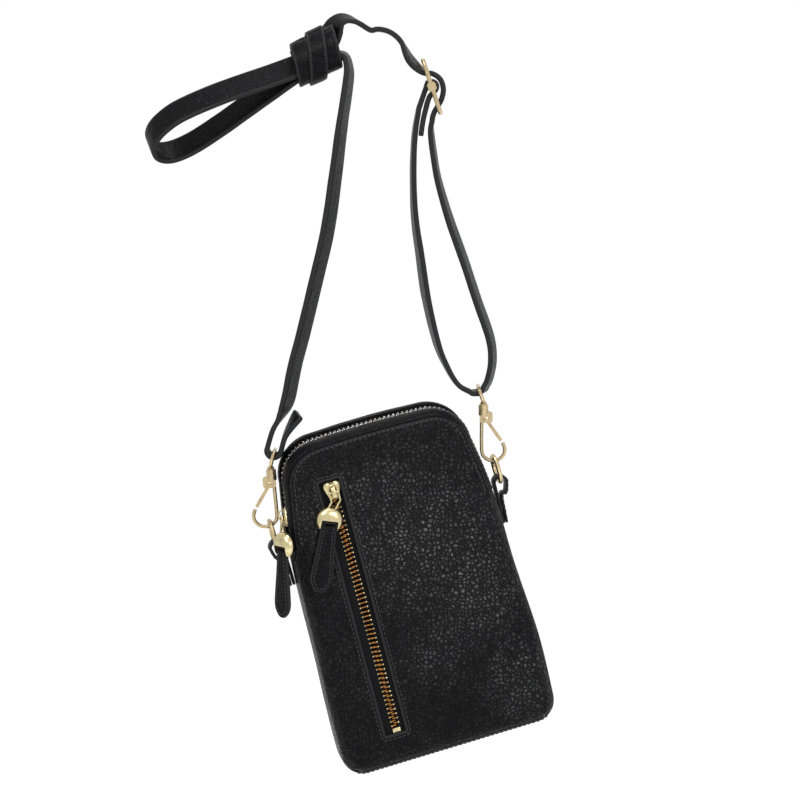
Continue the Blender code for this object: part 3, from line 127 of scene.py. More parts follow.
world = bpy.data.worlds.new("studio")
bpy.context.scene.world = world
world.use_nodes = True
tree = world.node_tree
tree.nodes.clear()
path = add(tree, "ShaderNodeLightPath")
seen = math_node(tree, "MAXIMUM", path.outputs["Is Camera Ray"], path.outputs["Is Glossy Ray"])
seen = math_node(tree, "MAXIMUM", seen, path.outputs["Is Transmission Ray"])
glow = add(tree, "ShaderNodeMixRGB", {"Fac": seen, "Color1": (0.40, 0.405, 0.42, 1), "Color2": (1, 1, 1, 1)})
background = add(tree, "ShaderNodeBackground", {"Color": glow.outputs["Color"], "Strength": 1.0})
output = add(tree, "ShaderNodeOutputWorld")
tree.links.new(background.outputs[0], output.inputs[0])

LAMPS = [
    ("key", (-0.60, -1.10, 0.80), 0.35, 15.0, (1.0, 0.99, 0.97)),
    ("right_box", (0.85, -1.30, 0.20), 0.35, 14.0, (1.0, 1.0, 1.0)),
    ("top", (0.10, -0.10, 1.10), 0.4, 8.0, (0.98, 0.99, 1.0)),
]
for name, place, size, power, colour in LAMPS:
    lamp_data = bpy.data.lights.new(name, "AREA")
    lamp_data.shape = "SQUARE"
    lamp_data.size = size
    lamp_data.energy = power
    lamp_data.color = colour
    aim(bpy.data.objects.new(name, lamp_data), Vector(place), Vector((0.0, 0.0, -0.25)))
print("lamps", [name for name, *_ in LAMPS])

# %% [markdown]
# ## Shared surface effects
# Grain, wear and weave are used by several finishes, so each is a node group with named inputs.
# The grain group warps a cell pattern a little, rounds each cell to a pebble and adds fine pores and creases.
# It reads object coordinates, so the grain has one size on every piece and never stretches. Its last output is a
# painted highlight: it marks the pebbles' tops, some brighter than others, to lighten the colour where glints would
# be.

# %% Group: leather grain


def group(name, inputs, outputs):
    """An empty shader group with float or vector sockets."""
    made = bpy.data.node_groups.new(name, "ShaderNodeTree")
    for label, kind, value in inputs:
        socket = made.interface.new_socket(label, in_out="INPUT", socket_type=kind)
        if value is not None:
            socket.default_value = value
    for label, kind in outputs:
        made.interface.new_socket(label, in_out="OUTPUT", socket_type=kind)
    return made, made.nodes.new("NodeGroupInput"), made.nodes.new("NodeGroupOutput")


FLOAT, COLOUR = "NodeSocketFloat", "NodeSocketColor"
grain_group, given, result = group(
    "leather grain",
    [("Pebbles Per Metre", FLOAT, 520.0), ("Pebble Share", FLOAT, 1.0), ("Crease Share", FLOAT, 0.3)],
    [("Height", FLOAT), ("Valley", FLOAT), ("Patch", FLOAT), ("Top", FLOAT)],
)
where = add(grain_group, "ShaderNodeTexCoord").outputs["Object"]
warp = add(grain_group, "ShaderNodeTexNoise", {"Vector": where, "Scale": 260.0, "Detail": 2.0})
bend = add(
    grain_group, "ShaderNodeVectorMath", {0: warp.outputs["Color"], 1: (0.5, 0.5, 0.5)}, operation="SUBTRACT"
)
small = add(grain_group, "ShaderNodeVectorMath", {0: bend.outputs[0], "Scale": 0.0016}, operation="SCALE")
moved = add(grain_group, "ShaderNodeVectorMath", {0: where, 1: small.outputs[0]}, operation="ADD").outputs[0]
cells = add(
    grain_group, "ShaderNodeTexVoronoi",
    {"Vector": moved, "Scale": given.outputs["Pebbles Per Metre"], "Randomness": 0.9},
    feature="DISTANCE_TO_EDGE",
)
pebble = add(
    grain_group, "ShaderNodeMapRange",
    {"Value": cells.outputs["Distance"], "From Min": 0.0, "From Max": 0.32, "To Min": 0.0, "To Max": 1.0},
    interpolation_type="SMOOTHSTEP",
).outputs[0]
each = add(
    grain_group, "ShaderNodeTexVoronoi",
    {"Vector": moved, "Scale": given.outputs["Pebbles Per Metre"], "Randomness": 0.9},
)
chance = add(grain_group, "ShaderNodeSeparateXYZ", {0: each.outputs["Color"]}).outputs[0]
cloud = add(grain_group, "ShaderNodeTexNoise", {"Vector": where, "Scale": 95.0, "Detail": 2.0}).outputs["Fac"]
cloud = add(
    grain_group, "ShaderNodeMapRange",
    {"Value": cloud, "From Min": 0.34, "From Max": 0.66, "To Min": 0.40, "To Max": 1.0},
).outputs[0]
chance = math_node(grain_group, "ADD", math_node(grain_group, "MULTIPLY", chance, 0.40), 0.60)
chance = math_node(grain_group, "MULTIPLY", chance, cloud)
speck = add(grain_group, "ShaderNodeTexNoise", {"Vector": where, "Scale": 620.0, "Detail": 2.0}).outputs["Fac"]
speck = add(
    grain_group, "ShaderNodeMapRange",
    {"Value": speck, "From Min": 0.36, "From Max": 0.64, "To Min": 0.30, "To Max": 1.25},
).outputs[0]
chance = math_node(grain_group, "MULTIPLY", chance, speck)
# Painted highlight: the pebbles' tops, each with its own random brightness, lighten the colour where glints would
# be.
top = add(
    grain_group, "ShaderNodeMapRange",
    {"Value": cells.outputs["Distance"], "From Min": 0.04, "From Max": 0.38, "To Min": 0.0, "To Max": 1.0},
    interpolation_type="SMOOTHSTEP",
).outputs[0]
top = math_node(grain_group, "MULTIPLY", top, chance)
pores = add(grain_group, "ShaderNodeTexNoise", {"Vector": where, "Scale": 2100.0, "Detail": 3.0}).outputs["Fac"]
crease = add(
    grain_group, "ShaderNodeTexNoise", {"Vector": moved, "Scale": 120.0, "Detail": 4.0, "Distortion": 0.6}
).outputs["Fac"]
fold = math_node(grain_group, "ABSOLUTE", math_node(grain_group, "SUBTRACT", crease, 0.5))
fold = math_node(grain_group, "MINIMUM", math_node(grain_group, "MULTIPLY", fold, 9.0), 1.0)
height = math_node(grain_group, "MULTIPLY", pebble, given.outputs["Pebble Share"])
height = math_node(grain_group, "ADD", height, math_node(grain_group, "MULTIPLY", pores, 0.22))
height = math_node(
    grain_group, "ADD", height, math_node(grain_group, "MULTIPLY", fold, given.outputs["Crease Share"])
)
patch = add(grain_group, "ShaderNodeTexNoise", {"Vector": where, "Scale": 28.0, "Detail": 3.0}).outputs["Fac"]
grain_group.links.new(height, result.inputs["Height"])
grain_group.links.new(math_node(grain_group, "SUBTRACT", 1.0, pebble), result.inputs["Valley"])
grain_group.links.new(patch, result.inputs["Patch"])
grain_group.links.new(top, result.inputs["Top"])
print("group", grain_group.name, "nodes", len(grain_group.nodes))

# %% Group: metal wear
wear_group, given, result = group(
    "metal wear",
    [("Fresh", COLOUR, (0.8, 0.6, 0.3, 1.0)), ("Tarnished", COLOUR, (0.3, 0.2, 0.1, 1.0)), ("Amount", FLOAT, 0.5)],
    [("Color", COLOUR), ("Roughness", FLOAT), ("Height", FLOAT)],
)
where = add(wear_group, "ShaderNodeTexCoord").outputs["Object"]
cloud = add(wear_group, "ShaderNodeTexNoise", {"Vector": where, "Scale": 230.0, "Detail": 5.0}).outputs["Fac"]
stain = add(
    wear_group, "ShaderNodeMapRange",
    {"Value": cloud, "From Min": 0.42, "From Max": 0.72, "To Min": 0.0, "To Max": 1.0},
).outputs[0]
stretched = add(wear_group, "ShaderNodeMapping", {"Vector": where, "Scale": (2600.0, 2600.0, 260.0)})
scratch = add(
    wear_group, "ShaderNodeTexNoise", {"Vector": stretched.outputs[0], "Scale": 1.0, "Detail": 2.0}
).outputs["Fac"]
streak = add(
    wear_group, "ShaderNodeMapRange",
    {"Value": scratch, "From Min": 0.45, "From Max": 0.75, "To Min": 0.0, "To Max": 0.8},
).outputs[0]
stain = math_node(wear_group, "MAXIMUM", stain, streak)
stain = math_node(wear_group, "MULTIPLY", stain, given.outputs["Amount"])
tone = add(
    wear_group, "ShaderNodeMixRGB",
    {"Fac": stain, "Color1": given.outputs["Fresh"], "Color2": given.outputs["Tarnished"]},
)
rough = math_node(wear_group, "ADD", 0.17, math_node(wear_group, "MULTIPLY", stain, 0.28))
rough = math_node(wear_group, "ADD", rough, math_node(wear_group, "MULTIPLY", scratch, 0.10))
wear_group.links.new(tone.outputs["Color"], result.inputs["Color"])
wear_group.links.new(rough, result.inputs["Roughness"])
wear_group.links.new(scratch, result.inputs["Height"])
print("group", wear_group.name, "nodes", len(wear_group.nodes))

# %% Group: woven cloth, drawn on the piece's own UV map in metres
weave_group, given, result = group(
    "weave", [("Thread Width", FLOAT, 0.0004)], [("Height", FLOAT), ("Shade", FLOAT)]
)
flat = add(weave_group, "ShaderNodeUVMap", uv_map="cloth")
axes = add(weave_group, "ShaderNodeSeparateXYZ", {0: flat.outputs[0]})
turns = math_node(weave_group, "DIVIDE", 2 * math.pi, given.outputs["Thread Width"])
rising = math_node(weave_group, "ADD", axes.outputs[0], axes.outputs[1])
falling = math_node(weave_group, "SUBTRACT", axes.outputs[0], axes.outputs[1])
first = math_node(weave_group, "SINE", math_node(weave_group, "MULTIPLY", rising, turns))
second = math_node(weave_group, "SINE", math_node(weave_group, "MULTIPLY", falling, turns))
both = math_node(weave_group, "MAXIMUM", first, second)
fuzz = add(weave_group, "ShaderNodeTexNoise", {"Vector": flat.outputs[0], "Scale": 5200.0}).outputs["Fac"]
weave_group.links.new(both, result.inputs["Height"])
shade = math_node(weave_group, "MULTIPLY", math_node(weave_group, "ADD", both, 1.0), fuzz)
weave_group.links.new(shade, result.inputs["Shade"])
print("group", weave_group.name, "nodes", len(weave_group.nodes))

# %% [markdown]
# ## Finishes
# Black leather is never pure black: pebble tops catch the light, valleys stay dark, and handled places shine.
# Here the tops get a painted highlight and the valleys a painted shade in the colour; the shine is roughness.
# The panel carries a per-point attribute for how strong the hide's pebbles are, strong in some places and ironed
# nearly flat in others; the same value sets where a painted highlight and a painted broad sheen lighten the colour.
# Painted edges are smoother and a little lighter, marked by an attribute named edge; the lighter tone is edge paint
# and partly a painted rim highlight.

# %% Leather finishes


def leather(name, colour, light, pebbles, pebble_and_sheen_share, crease, relief, roughness, varied=False):
    """Principled leather with the grain group, its colour holding painted highlight, sheen and valley shade; varied
    leather reads its pebbles and their painted brightness from an attribute.
    """
    made = bpy.data.materials.new(name)
    made.use_nodes = True
    tree = made.node_tree
    shader = tree.nodes["Principled BSDF"]
    grain_and_sheen = add(tree, "ShaderNodeGroup", node_tree=grain_group)
    grain_and_sheen.inputs["Pebbles Per Metre"].default_value = pebbles
    grain_and_sheen.inputs["Crease Share"].default_value = crease
    # The pebble share also scales the painted highlight and painted sheen below.
    pebbles_and_sheen = pebble_and_sheen_share
    if varied:
        pebbles_and_sheen = add(tree, "ShaderNodeAttribute", attribute_name="grain_and_sheen").outputs["Fac"]
        tree.links.new(pebbles_and_sheen, grain_and_sheen.inputs["Pebble Share"])
    else:
        grain_and_sheen.inputs["Pebble Share"].default_value = pebble_and_sheen_share
    # Painted shade: the valleys between the pebbles get a darker colour, on top of the patches' random tone.
    tone_and_valley_shade = math_node(tree, "MULTIPLY", grain_and_sheen.outputs["Patch"], math_node(tree, "SUBTRACT", 1.0, math_node(
        tree, "MULTIPLY", grain_and_sheen.outputs["Valley"], 0.6)))
    body = add(tree, "ShaderNodeMixRGB", {"Fac": tone_and_valley_shade, "Color1": colour, "Color2": light})
    # Painted highlight and painted sheen: the pebble tops and a broad sheen lighten the colour where the pebbles are
    # strong.
    painted_highlight = math_node(tree, "MULTIPLY", math_node(tree, "ADD", grain_and_sheen.outputs["Top"], BROAD_SHEEN), pebbles_and_sheen)
    body = add(
        tree, "ShaderNodeMixRGB", {"Fac": painted_highlight, "Color1": body.outputs["Color"], "Color2": PAINTED_PEBBLE_HIGHLIGHT}
    )
    shine = math_node(tree, "ADD", roughness, math_node(tree, "MULTIPLY", grain_and_sheen.outputs["Valley"], 0.14))
    shine = math_node(tree, "SUBTRACT", shine, math_node(tree, "MULTIPLY", grain_and_sheen.outputs["Patch"], 0.10))
    bump = add(tree, "ShaderNodeBump", {"Height": grain_and_sheen.outputs["Height"], "Distance": relief, "Strength": 1.0})
    # The edge attribute lightens the colour: edge paint, and partly a painted rim highlight.
    edge = add(tree, "ShaderNodeAttribute", attribute_name="edge").outputs["Fac"]
    edge_paint_and_highlight = add(
        tree, "ShaderNodeMixRGB", {"Fac": edge, "Color1": body.outputs["Color"], "Color2": EDGE_PAINT_AND_RIM_HIGHLIGHT}
    )
    strength = math_node(tree, "SUBTRACT", 1.0, math_node(tree, "MULTIPLY", edge, 0.75))
    tree.links.new(strength, bump.inputs["Strength"])
    tree.links.new(edge_paint_and_highlight.outputs["Color"], shader.inputs["Base Color"])
    tree.links.new(shine, shader.inputs["Roughness"])
    tree.links.new(bump.outputs["Normal"], shader.inputs["Normal"])
    shader.inputs["Specular IOR Level"].default_value = LEATHER_GLOSS
    return made


INK = (0.0012, 0.0012, 0.0016, 1.0)
SLATE = (0.0055, 0.0055, 0.0064, 1.0)
# Painted highlight: the colour that the pebbles' tops are lightened to, in place of the lamps' glints.
PAINTED_PEBBLE_HIGHLIGHT = (0.140, 0.140, 0.143, 1.0)
# The broad sheen is a painted sheen: a lightening of the colour wherever the pebbles are strong.
BROAD_SHEEN, LEATHER_GLOSS = 0.045, 0.05
# The edges' colour: edge paint, made lighter partly as a painted rim highlight.
EDGE_PAINT_AND_RIM_HIGHLIGHT = (0.020, 0.020, 0.021, 1.0)
panel_leather = leather("pebbled panel leather", INK, SLATE, 430.0, 1.0, 0.55, 0.0009, 0.30, varied=True)
side_leather = leather("smooth side leather", INK, SLATE, 760.0, 0.10, 0.55, 0.0004, 0.36)
strap_leather = leather("strap leather", INK, SLATE, 640.0, 0.08, 0.30, 0.0004, 0.34)
tab_leather = leather("puller leather", INK, SLATE, 700.0, 0.12, 0.30, 0.0004, 0.34)
print("leathers", [m.name for m in (panel_leather, side_leather, strap_leather, tab_leather)])

# %% Metal finishes


def metal(name, fresh, tarnished, amount, relief=0.00001):
    """Plated metal with the wear group."""
    made = bpy.data.materials.new(name)
    made.use_nodes = True
    tree = made.node_tree
    shader = tree.nodes["Principled BSDF"]
    wear = add(tree, "ShaderNodeGroup", node_tree=wear_group)
    wear.inputs["Fresh"].default_value = fresh
    wear.inputs["Tarnished"].default_value = tarnished
    wear.inputs["Amount"].default_value = amount
    bump = add(tree, "ShaderNodeBump", {"Height": wear.outputs["Height"], "Distance": relief, "Strength": 0.6})
    tree.links.new(wear.outputs["Color"], shader.inputs["Base Color"])
    tree.links.new(wear.outputs["Roughness"], shader.inputs["Roughness"])
    tree.links.new(bump.outputs["Normal"], shader.inputs["Normal"])
    shader.inputs["Metallic"].default_value = 1.0
    return made


pull_brass = metal("antique brass", (0.62, 0.54, 0.31, 1), (0.22, 0.17, 0.09, 1), 0.75)
hook_brass = metal("rose brass", (0.58, 0.47, 0.28, 1), (0.25, 0.18, 0.10, 1), 0.70)
gunmetal = metal("gunmetal", (0.42, 0.40, 0.39, 1), (0.14, 0.13, 0.13, 1), 0.70)
# Pocket tooth heads: the clamps' brass made darker and redder, painted shade on the chain's middle.
shaded_head_brass = metal("zip tooth head brass, painted shade", (0.34, 0.15, 0.045, 1), (0.14, 0.06, 0.02, 1), 0.60)
clamp_brass = metal("zip clamp brass", (0.44, 0.33, 0.16, 1), (0.15, 0.10, 0.05, 1), 0.80)
print("metals", [m.name for m in (pull_brass, hook_brass, gunmetal, shaded_head_brass, clamp_brass)])

# %% Cloth and thread finishes
CLOTH_GLOSS = 0.08


def cloth(name, dark, light, thread, relief, roughness):
    """Woven cloth with the weave group."""
    made = bpy.data.materials.new(name)
    made.use_nodes = True
    tree = made.node_tree
    shader = tree.nodes["Principled BSDF"]
    weave = add(tree, "ShaderNodeGroup", node_tree=weave_group)
    weave.inputs["Thread Width"].default_value = thread
    tone = add(tree, "ShaderNodeMixRGB", {"Fac": weave.outputs["Shade"], "Color1": dark, "Color2": light})
    bump = add(tree, "ShaderNodeBump", {"Height": weave.outputs["Height"], "Distance": relief, "Strength": 1.0})
    tree.links.new(tone.outputs["Color"], shader.inputs["Base Color"])
    tree.links.new(bump.outputs["Normal"], shader.inputs["Normal"])
    shader.inputs["Roughness"].default_value = roughness
    shader.inputs["Specular IOR Level"].default_value = CLOTH_GLOSS
    return made


def speckled(name, dark, light, scale, relief, roughness):
    """A dull finish with a fine speckle, for thread, board and hidden cloth."""
    made = bpy.data.materials.new(name)
    made.use_nodes = True
    tree = made.node_tree
    shader = tree.nodes["Principled BSDF"]
    where = add(tree, "ShaderNodeTexCoord").outputs["Object"]
    speck = add(tree, "ShaderNodeTexNoise", {"Vector": where, "Scale": scale, "Detail": 3.0}).outputs["Fac"]
    tone = add(tree, "ShaderNodeMixRGB", {"Fac": speck, "Color1": dark, "Color2": light})
    bump = add(tree, "ShaderNodeBump", {"Height": speck, "Distance": relief, "Strength": 0.8})
    tree.links.new(tone.outputs["Color"], shader.inputs["Base Color"])
    tree.links.new(bump.outputs["Normal"], shader.inputs["Normal"])
    shader.inputs["Roughness"].default_value = roughness
    return made


tape_cloth = cloth("zip tape weave", (0.0015, 0.0015, 0.002, 1), (0.008, 0.008, 0.009, 1), 0.00045, 0.00006, 0.75)
thread = speckled("black thread", (0.006, 0.006, 0.007, 1), (0.030, 0.030, 0.032, 1), 4200.0, 0.00003, 0.5)
lining_cloth = speckled("lining cloth", (0.035, 0.032, 0.030, 1), (0.075, 0.070, 0.064, 1), 2600.0, 0.00005, 0.85)
board_finish = speckled("stiffener board", (0.05, 0.046, 0.040, 1), (0.10, 0.09, 0.08, 1), 900.0, 0.00004, 0.9)
print("cloths", [m.name for m in (tape_cloth, thread, lining_cloth, board_finish)])

# %% [markdown]
# ## Mesh helpers
# Most pieces are rows of points bridged into a skin: a strap is a profile carried along a route, a panel is a
# set of rings from its rim to its middle. One function bridges rows, another turns the result into a piece that
# rides on its body and stands for its solids.

# %% Bridging rows into meshes


def bridge(rows, wrap=False, caps=False):
    """Vertices and quads of rows of equal length; wrap closes each row, caps close the two ends."""
    count = len(rows[0])
    verts = [point for row in rows for point in row]
    faces = []
    last = count if wrap else count - 1
    for r in range(len(rows) - 1):
        for i in range(last):
            j = (i + 1) % count
            faces.append((r * count + i, r * count + j, (r + 1) * count + j, (r + 1) * count + i))
    if caps:
        faces.append(tuple(reversed(range(count))))
        faces.append(tuple(range((len(rows) - 1) * count, len(rows) * count)))
    return verts, faces


def new_mesh(name, verts, faces, matrix=None, outward=True):
    """A mesh with its doubles merged and its faces pointing out."""
    bm = bmesh.new()
    made = [bm.verts.new(matrix @ Vector(point) if matrix else point) for point in verts]
    for face in faces:
        bm.faces.new([made[i] for i in face])
    bmesh.ops.remove_doubles(bm, verts=bm.verts[:], dist=0.000002)
    if outward:
        bmesh.ops.recalc_face_normals(bm, faces=bm.faces[:])
    mesh = bpy.data.meshes.new(name)
    bm.to_mesh(mesh)
    bm.free()
    return mesh


def apply_modifiers(obj):
    """Bake the modifiers of an object into its mesh."""
    bpy.context.view_layer.update()
    shown = obj.evaluated_get(bpy.context.evaluated_depsgraph_get())
    mesh = bpy.data.meshes.new_from_object(shown)
    obj.modifiers.clear()
    obj.data = mesh
    return obj


def piece(name, mesh, finish, body, stands_for=(), sharp=40.0):
    """An object with its finish, riding on its body."""
    mesh.materials.clear()
    mesh.materials.append(finish)
    mesh.shade_smooth()
    mesh.set_sharp_from_angle(angle=math.radians(sharp))
    made = bpy.data.objects.new(name, mesh)
    bpy.context.scene.collection.objects.link(made)
    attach(made, body)
    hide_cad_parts(*stands_for)
    return made


def joined(name, parts):
    """One mesh from several (vertices, faces) lists."""
    verts, faces = [], []
    for some_verts, some_faces in parts:
        start = len(verts)
        verts += some_verts
        faces += [tuple(i + start for i in face) for face in some_faces]
    return new_mesh(name, verts, faces)


def tangents(points, closed=False):
    """Unit directions along a path."""
    count = len(points)
    made = []
    for i in range(count):
        if closed:
            step = points[(i + 1) % count] - points[i - 1]
        else:
            step = points[min(i + 1, count - 1)] - points[max(i - 1, 0)]
        made.append(step.normalized())
    return made


def smooth_path(points, steps):
    """Catmull-Rom points through a given route."""
    route = [2 * points[0] - points[1], *points, 2 * points[-1] - points[-2]]
    made = []
    for a, b, c, d in zip(route, route[1:], route[2:], route[3:]):
        for step in range(steps):
            t = step / steps
            cubic = (3 * b - a - 3 * c + d) * t ** 3
            made.append(0.5 * ((2 * b) + (c - a) * t + (2 * a - 5 * b + 4 * c - d) * t * t + cubic))
    made.append(points[-1].copy())
    return made


def smoothstep(low, high, value):
    """Ease from 0 to 1 between two values."""
    share = min(max((value - low) / (high - low), 0.0), 1.0)
    return share * share * (3 - 2 * share)


def circle(radius, count, start=0.0):
    """Points of a circle."""
    turns = [start + 2 * math.pi * i / count for i in range(count)]
    return [(radius * math.cos(turn), radius * math.sin(turn)) for turn in turns]


def tube(points, radius, sides, across, closed=False):
    """A round wire along a path; across is a direction roughly square to it."""
    rows = []
    for point, along in zip(points, tangents(points, closed)):
        second = along.cross(across).normalized()
        first = second.cross(along).normalized()
        rows.append([point + first * x + second * y for x, y in circle(radius, sides)])
    if closed:
        rows.append(rows[0])
    return bridge(rows, wrap=True, caps=not closed)


print("mesh helpers ready")

# %% [markdown]
# ## The bag's own frame and seam line
# The bag hangs tilted from its two rings, so its pieces are drawn upright in a frame of their own, u across,
# v up and w from front to back, and one matrix brings them to their place.
# The seam line is the outline that the panels, the sides and the zip strips share. A full bag sags a little past
# its pattern, so the line is filled out in the lower half, a bit more on the right.

# %% Bag frame
BAG = (
    Matrix.Translation((0.0028, 0.0, -0.2552))
    @ Euler((math.radians(2.0), math.radians(-14.9), math.radians(9.0))).to_matrix().to_4x4()
    @ Matrix.Translation((0.0, -0.0030, -0.1454))
)
HALF_WIDTH = 0.0582
BAG_HEIGHT = 0.1853
HALF_DEPTH = 0.0150
LEATHER = 0.0016
FACE_DEPTH = HALF_DEPTH + LEATHER
PANEL_CROWN = 0.0026
SHOULDER_HEIGHT = 0.088
SHOULDER_TAPER = 0.0070
TOP_CORNER = 0.0200
BASE_CORNER = 0.0100
TOP_ARCH = 0.0008
TOP_LEAN = 0.0014
SIDE_BULGE = 0.0022
ZIP_BULGE = 0.0030
BASE_BULGE = 0.0048
ZIP_END = 0.134
FLARE = 0.038
BELLY = 0.0004
RIGHT_FILL = 0.0015


def half_width(v):
    """Half the panel's width at a height on its sides."""
    span = BAG_HEIGHT - TOP_CORNER - SHOULDER_HEIGHT
    share = min(max((v - SHOULDER_HEIGHT) / span, 0.0), 1.0)
    return HALF_WIDTH - SHOULDER_TAPER * share ** 2.2


def filled_out(u, v):
    """Where the soft lower half stands a little wider and lower than the seam of the solids."""
    share = 1 - smoothstep(0.015, 0.105, v)
    low = 1 - smoothstep(0.0, 0.030, v)
    slack = smoothstep(0.0, 0.05, v) * (1 - smoothstep(0.046, 0.104, v))
    more = RIGHT_FILL * (0.55 * share + slack) if u > 0 else 0.0
    return u * (1 + FLARE * share) + more * min(u / 0.02, 1.0), v - BELLY * low


def right_seam():
    """Fine seam points from the middle of the base out and up to the middle of the top."""
    points = []
    base_middle = HALF_WIDTH - BASE_CORNER
    points += [(base_middle * i / 24, 0.0) for i in range(24)]
    for i in range(12):
        angle = math.pi / 2 * i / 12
        points.append((base_middle + BASE_CORNER * math.sin(angle), BASE_CORNER * (1 - math.cos(angle))))
    top_start = BAG_HEIGHT - TOP_CORNER
    for i in range(84):
        v = BASE_CORNER + (top_start - BASE_CORNER) * i / 84
        points.append((half_width(v), v))
    top_middle = half_width(top_start) - TOP_CORNER
    for i in range(18):
        angle = math.pi / 2 * i / 18
        rise = (TOP_CORNER - TOP_ARCH) * math.sin(angle)
        points.append((top_middle + TOP_CORNER * math.cos(angle), top_start + rise))
    for i in range(21):
        share = i / 20
        arch = TOP_ARCH * (1 - (1 - share) ** 2)
        points.append((top_middle * (1 - share), BAG_HEIGHT - TOP_ARCH + arch))
    return points


right_half = [filled_out(u, v) for u, v in right_seam()]
SEAM = [Vector((u, 0.0, v)) for u, v in right_half]
left_half = [filled_out(-u, v) for u, v in right_seam()]
SEAM += [Vector((u, 0.0, v)) for u, v in left_half[-2:0:-1]]
SEAM_OUT = [Vector((along.z, 0.0, -along.x)) for along in tangents(SEAM, closed=True)]


def swell(point, out, w):
    """How far the sides stand out from the seam at a depth."""
    side = SIDE_BULGE + (ZIP_BULGE - SIDE_BULGE) * smoothstep(SHOULDER_HEIGHT, ZIP_END, point.z)
    upright = BASE_BULGE if out.z < 0 else ZIP_BULGE
    most = side * out.x ** 2 + upright * out.z ** 2
    return most * math.sqrt(max(1 - (w / HALF_DEPTH) ** 2, 0.0))


def leaned(point):
    """The top leans forward, so its back edge stands a little higher."""
    share = smoothstep(SHOULDER_HEIGHT, BAG_HEIGHT, point.z)
    return point + Vector((0.0, 0.0, TOP_LEAN * share * point.y / HALF_DEPTH))


def round_the_side(point, out, w, sink=0.0):
    """A point of the side's surface at depth w."""
    return leaned(point + out * (swell(point, out, w) - sink) + Vector((0.0, w, 0.0)))


print("seam points", len(SEAM))

# %% [markdown]
# ## The front panel
# On the real bag the front hide turns over a soft corner and covers the sides too, up to the ends of the zip.
# Above the zip ends it stops at a sewn edge. So its rim gets two forms: a wide soft turn below, a tight one above.
# The hide isn't flat: broad dents and fine slack are added with smooth noise, fading out near the seams.

# %% Front hide
SPINE_LOW, SPINE_HIGH = 0.048, 0.138
FRONT_STEPS = [
    0.0, 0.0012, 0.0026, 0.0042, 0.0060, 0.0080, 0.0102, 0.0126, 0.0152, 0.0180, 0.0210, 0.0242, 0.0276, 0.0312,
    0.0350, 0.0390, 0.0430, 0.0470, 0.0510, 0.0548,
]
SOFT_TURN, SEWN_TURN = 0.0062, 0.0007
TURN_STEPS = 8
WRAP_STEPS = 12
HIDE = 0.0013


def spine_point(point):
    """The middle line that the panel's rings close on."""
    return Vector((0.0, 0.0, min(max(point.z, SPINE_LOW), SPINE_HIGH)))


def crown(share):
    """How proud the panel stands at a share of the way from rim to middle."""
    return PANEL_CROWN * (1 - (1 - min(share / 0.17, 1.0)) ** 2.2)


def slack(u, v, seed):
    """Broad dents and fine slack of a soft hide, in metres."""
    broad = noise.noise(Vector((u * 22, v * 17, seed)))
    middle = noise.noise(Vector((u * 55, v * 42, seed + 5.0)))
    fine = noise.noise(Vector((u * 150, v * 120, seed + 9.0)))
    return 0.00075 * broad + 0.00032 * middle + 0.00010 * fine


def hide_rows(side, soft_below, seed):
    """Rings from the rim's turn to the middle, and whether each rim point turns softly."""
    rows, softness = [], []
    for point, out in zip(SEAM, SEAM_OUT):
        soft = smoothstep(0.25, 0.8, abs(out.x)) * (1 - smoothstep(ZIP_END - 0.009, ZIP_END - 0.001, point.z))
        softness.append(soft if soft_below else 0.0)
    for k in range(TURN_STEPS + 1):
        turn = math.pi / 2 * (1 - k / TURN_STEPS)
        row = []
        for point, out, soft in zip(SEAM, SEAM_OUT, softness):
            radius = SEWN_TURN + (SOFT_TURN - SEWN_TURN) * soft
            reach = swell(point, out, FACE_DEPTH - radius) * soft
            inset = radius * (1 - math.sin(turn)) - reach
            share = max(inset, 0.0) / HALF_WIDTH
            depth = FACE_DEPTH - radius + radius * math.cos(turn) + crown(share) * math.cos(turn)
            row.append(leaned(point - out * inset + Vector((0.0, side * depth, 0.0))))
        rows.append(row)
    for step in FRONT_STEPS[1:]:
        row = []
        for point, out, soft in zip(SEAM, SEAM_OUT, softness):
            radius = SEWN_TURN + (SOFT_TURN - SEWN_TURN) * soft
            reach = swell(point, out, FACE_DEPTH - radius) * soft
            first = (radius - reach) / HALF_WIDTH
            share = first + (1 - first) * step / FRONT_STEPS[-1]
            place = point.lerp(spine_point(point), share)
            depth = FACE_DEPTH + crown(share)
            depth += slack(place.x, place.z, seed) * smoothstep(0.03, 0.30, share)
            row.append(leaned(place + Vector((0.0, side * depth, 0.0))))
        rows.append(row)
    return rows, softness


front_rows, front_softness = hide_rows(-1, True, 3.0)
print("front rings", len(front_rows), "of", len(front_rows[0]))

# %% Front hide: the parts that go round the sides
count = len(SEAM)
wrap_columns = [i for i in range(count) if front_softness[i] > 0.0]
right_columns = [i for i in wrap_columns if SEAM[i].x > 0]
left_columns = [i for i in wrap_columns if SEAM[i].x < 0]
BACK_REACH = HALF_DEPTH - 0.0002


def wrapped(columns):
    """Rows round the side from the front turn to the back seam."""
    rows = []
    for k in range(WRAP_STEPS + 1):
        row = []
        for i in columns:
            point, out, soft = SEAM[i], SEAM_OUT[i], front_softness[i]
            radius = SEWN_TURN + (SOFT_TURN - SEWN_TURN) * soft
            start = -(FACE_DEPTH - radius)
            w = start + (BACK_REACH - start) * k / WRAP_STEPS
            dimple = 0.0007 * noise.noise(Vector((point.x * 9, w * 60, point.z * 26)))
            dimple *= math.sin(math.pi * k / WRAP_STEPS)
            row.append(round_the_side(point, out, w, sink=max(-dimple, -0.0004)))
        rows.append(row)
    return rows


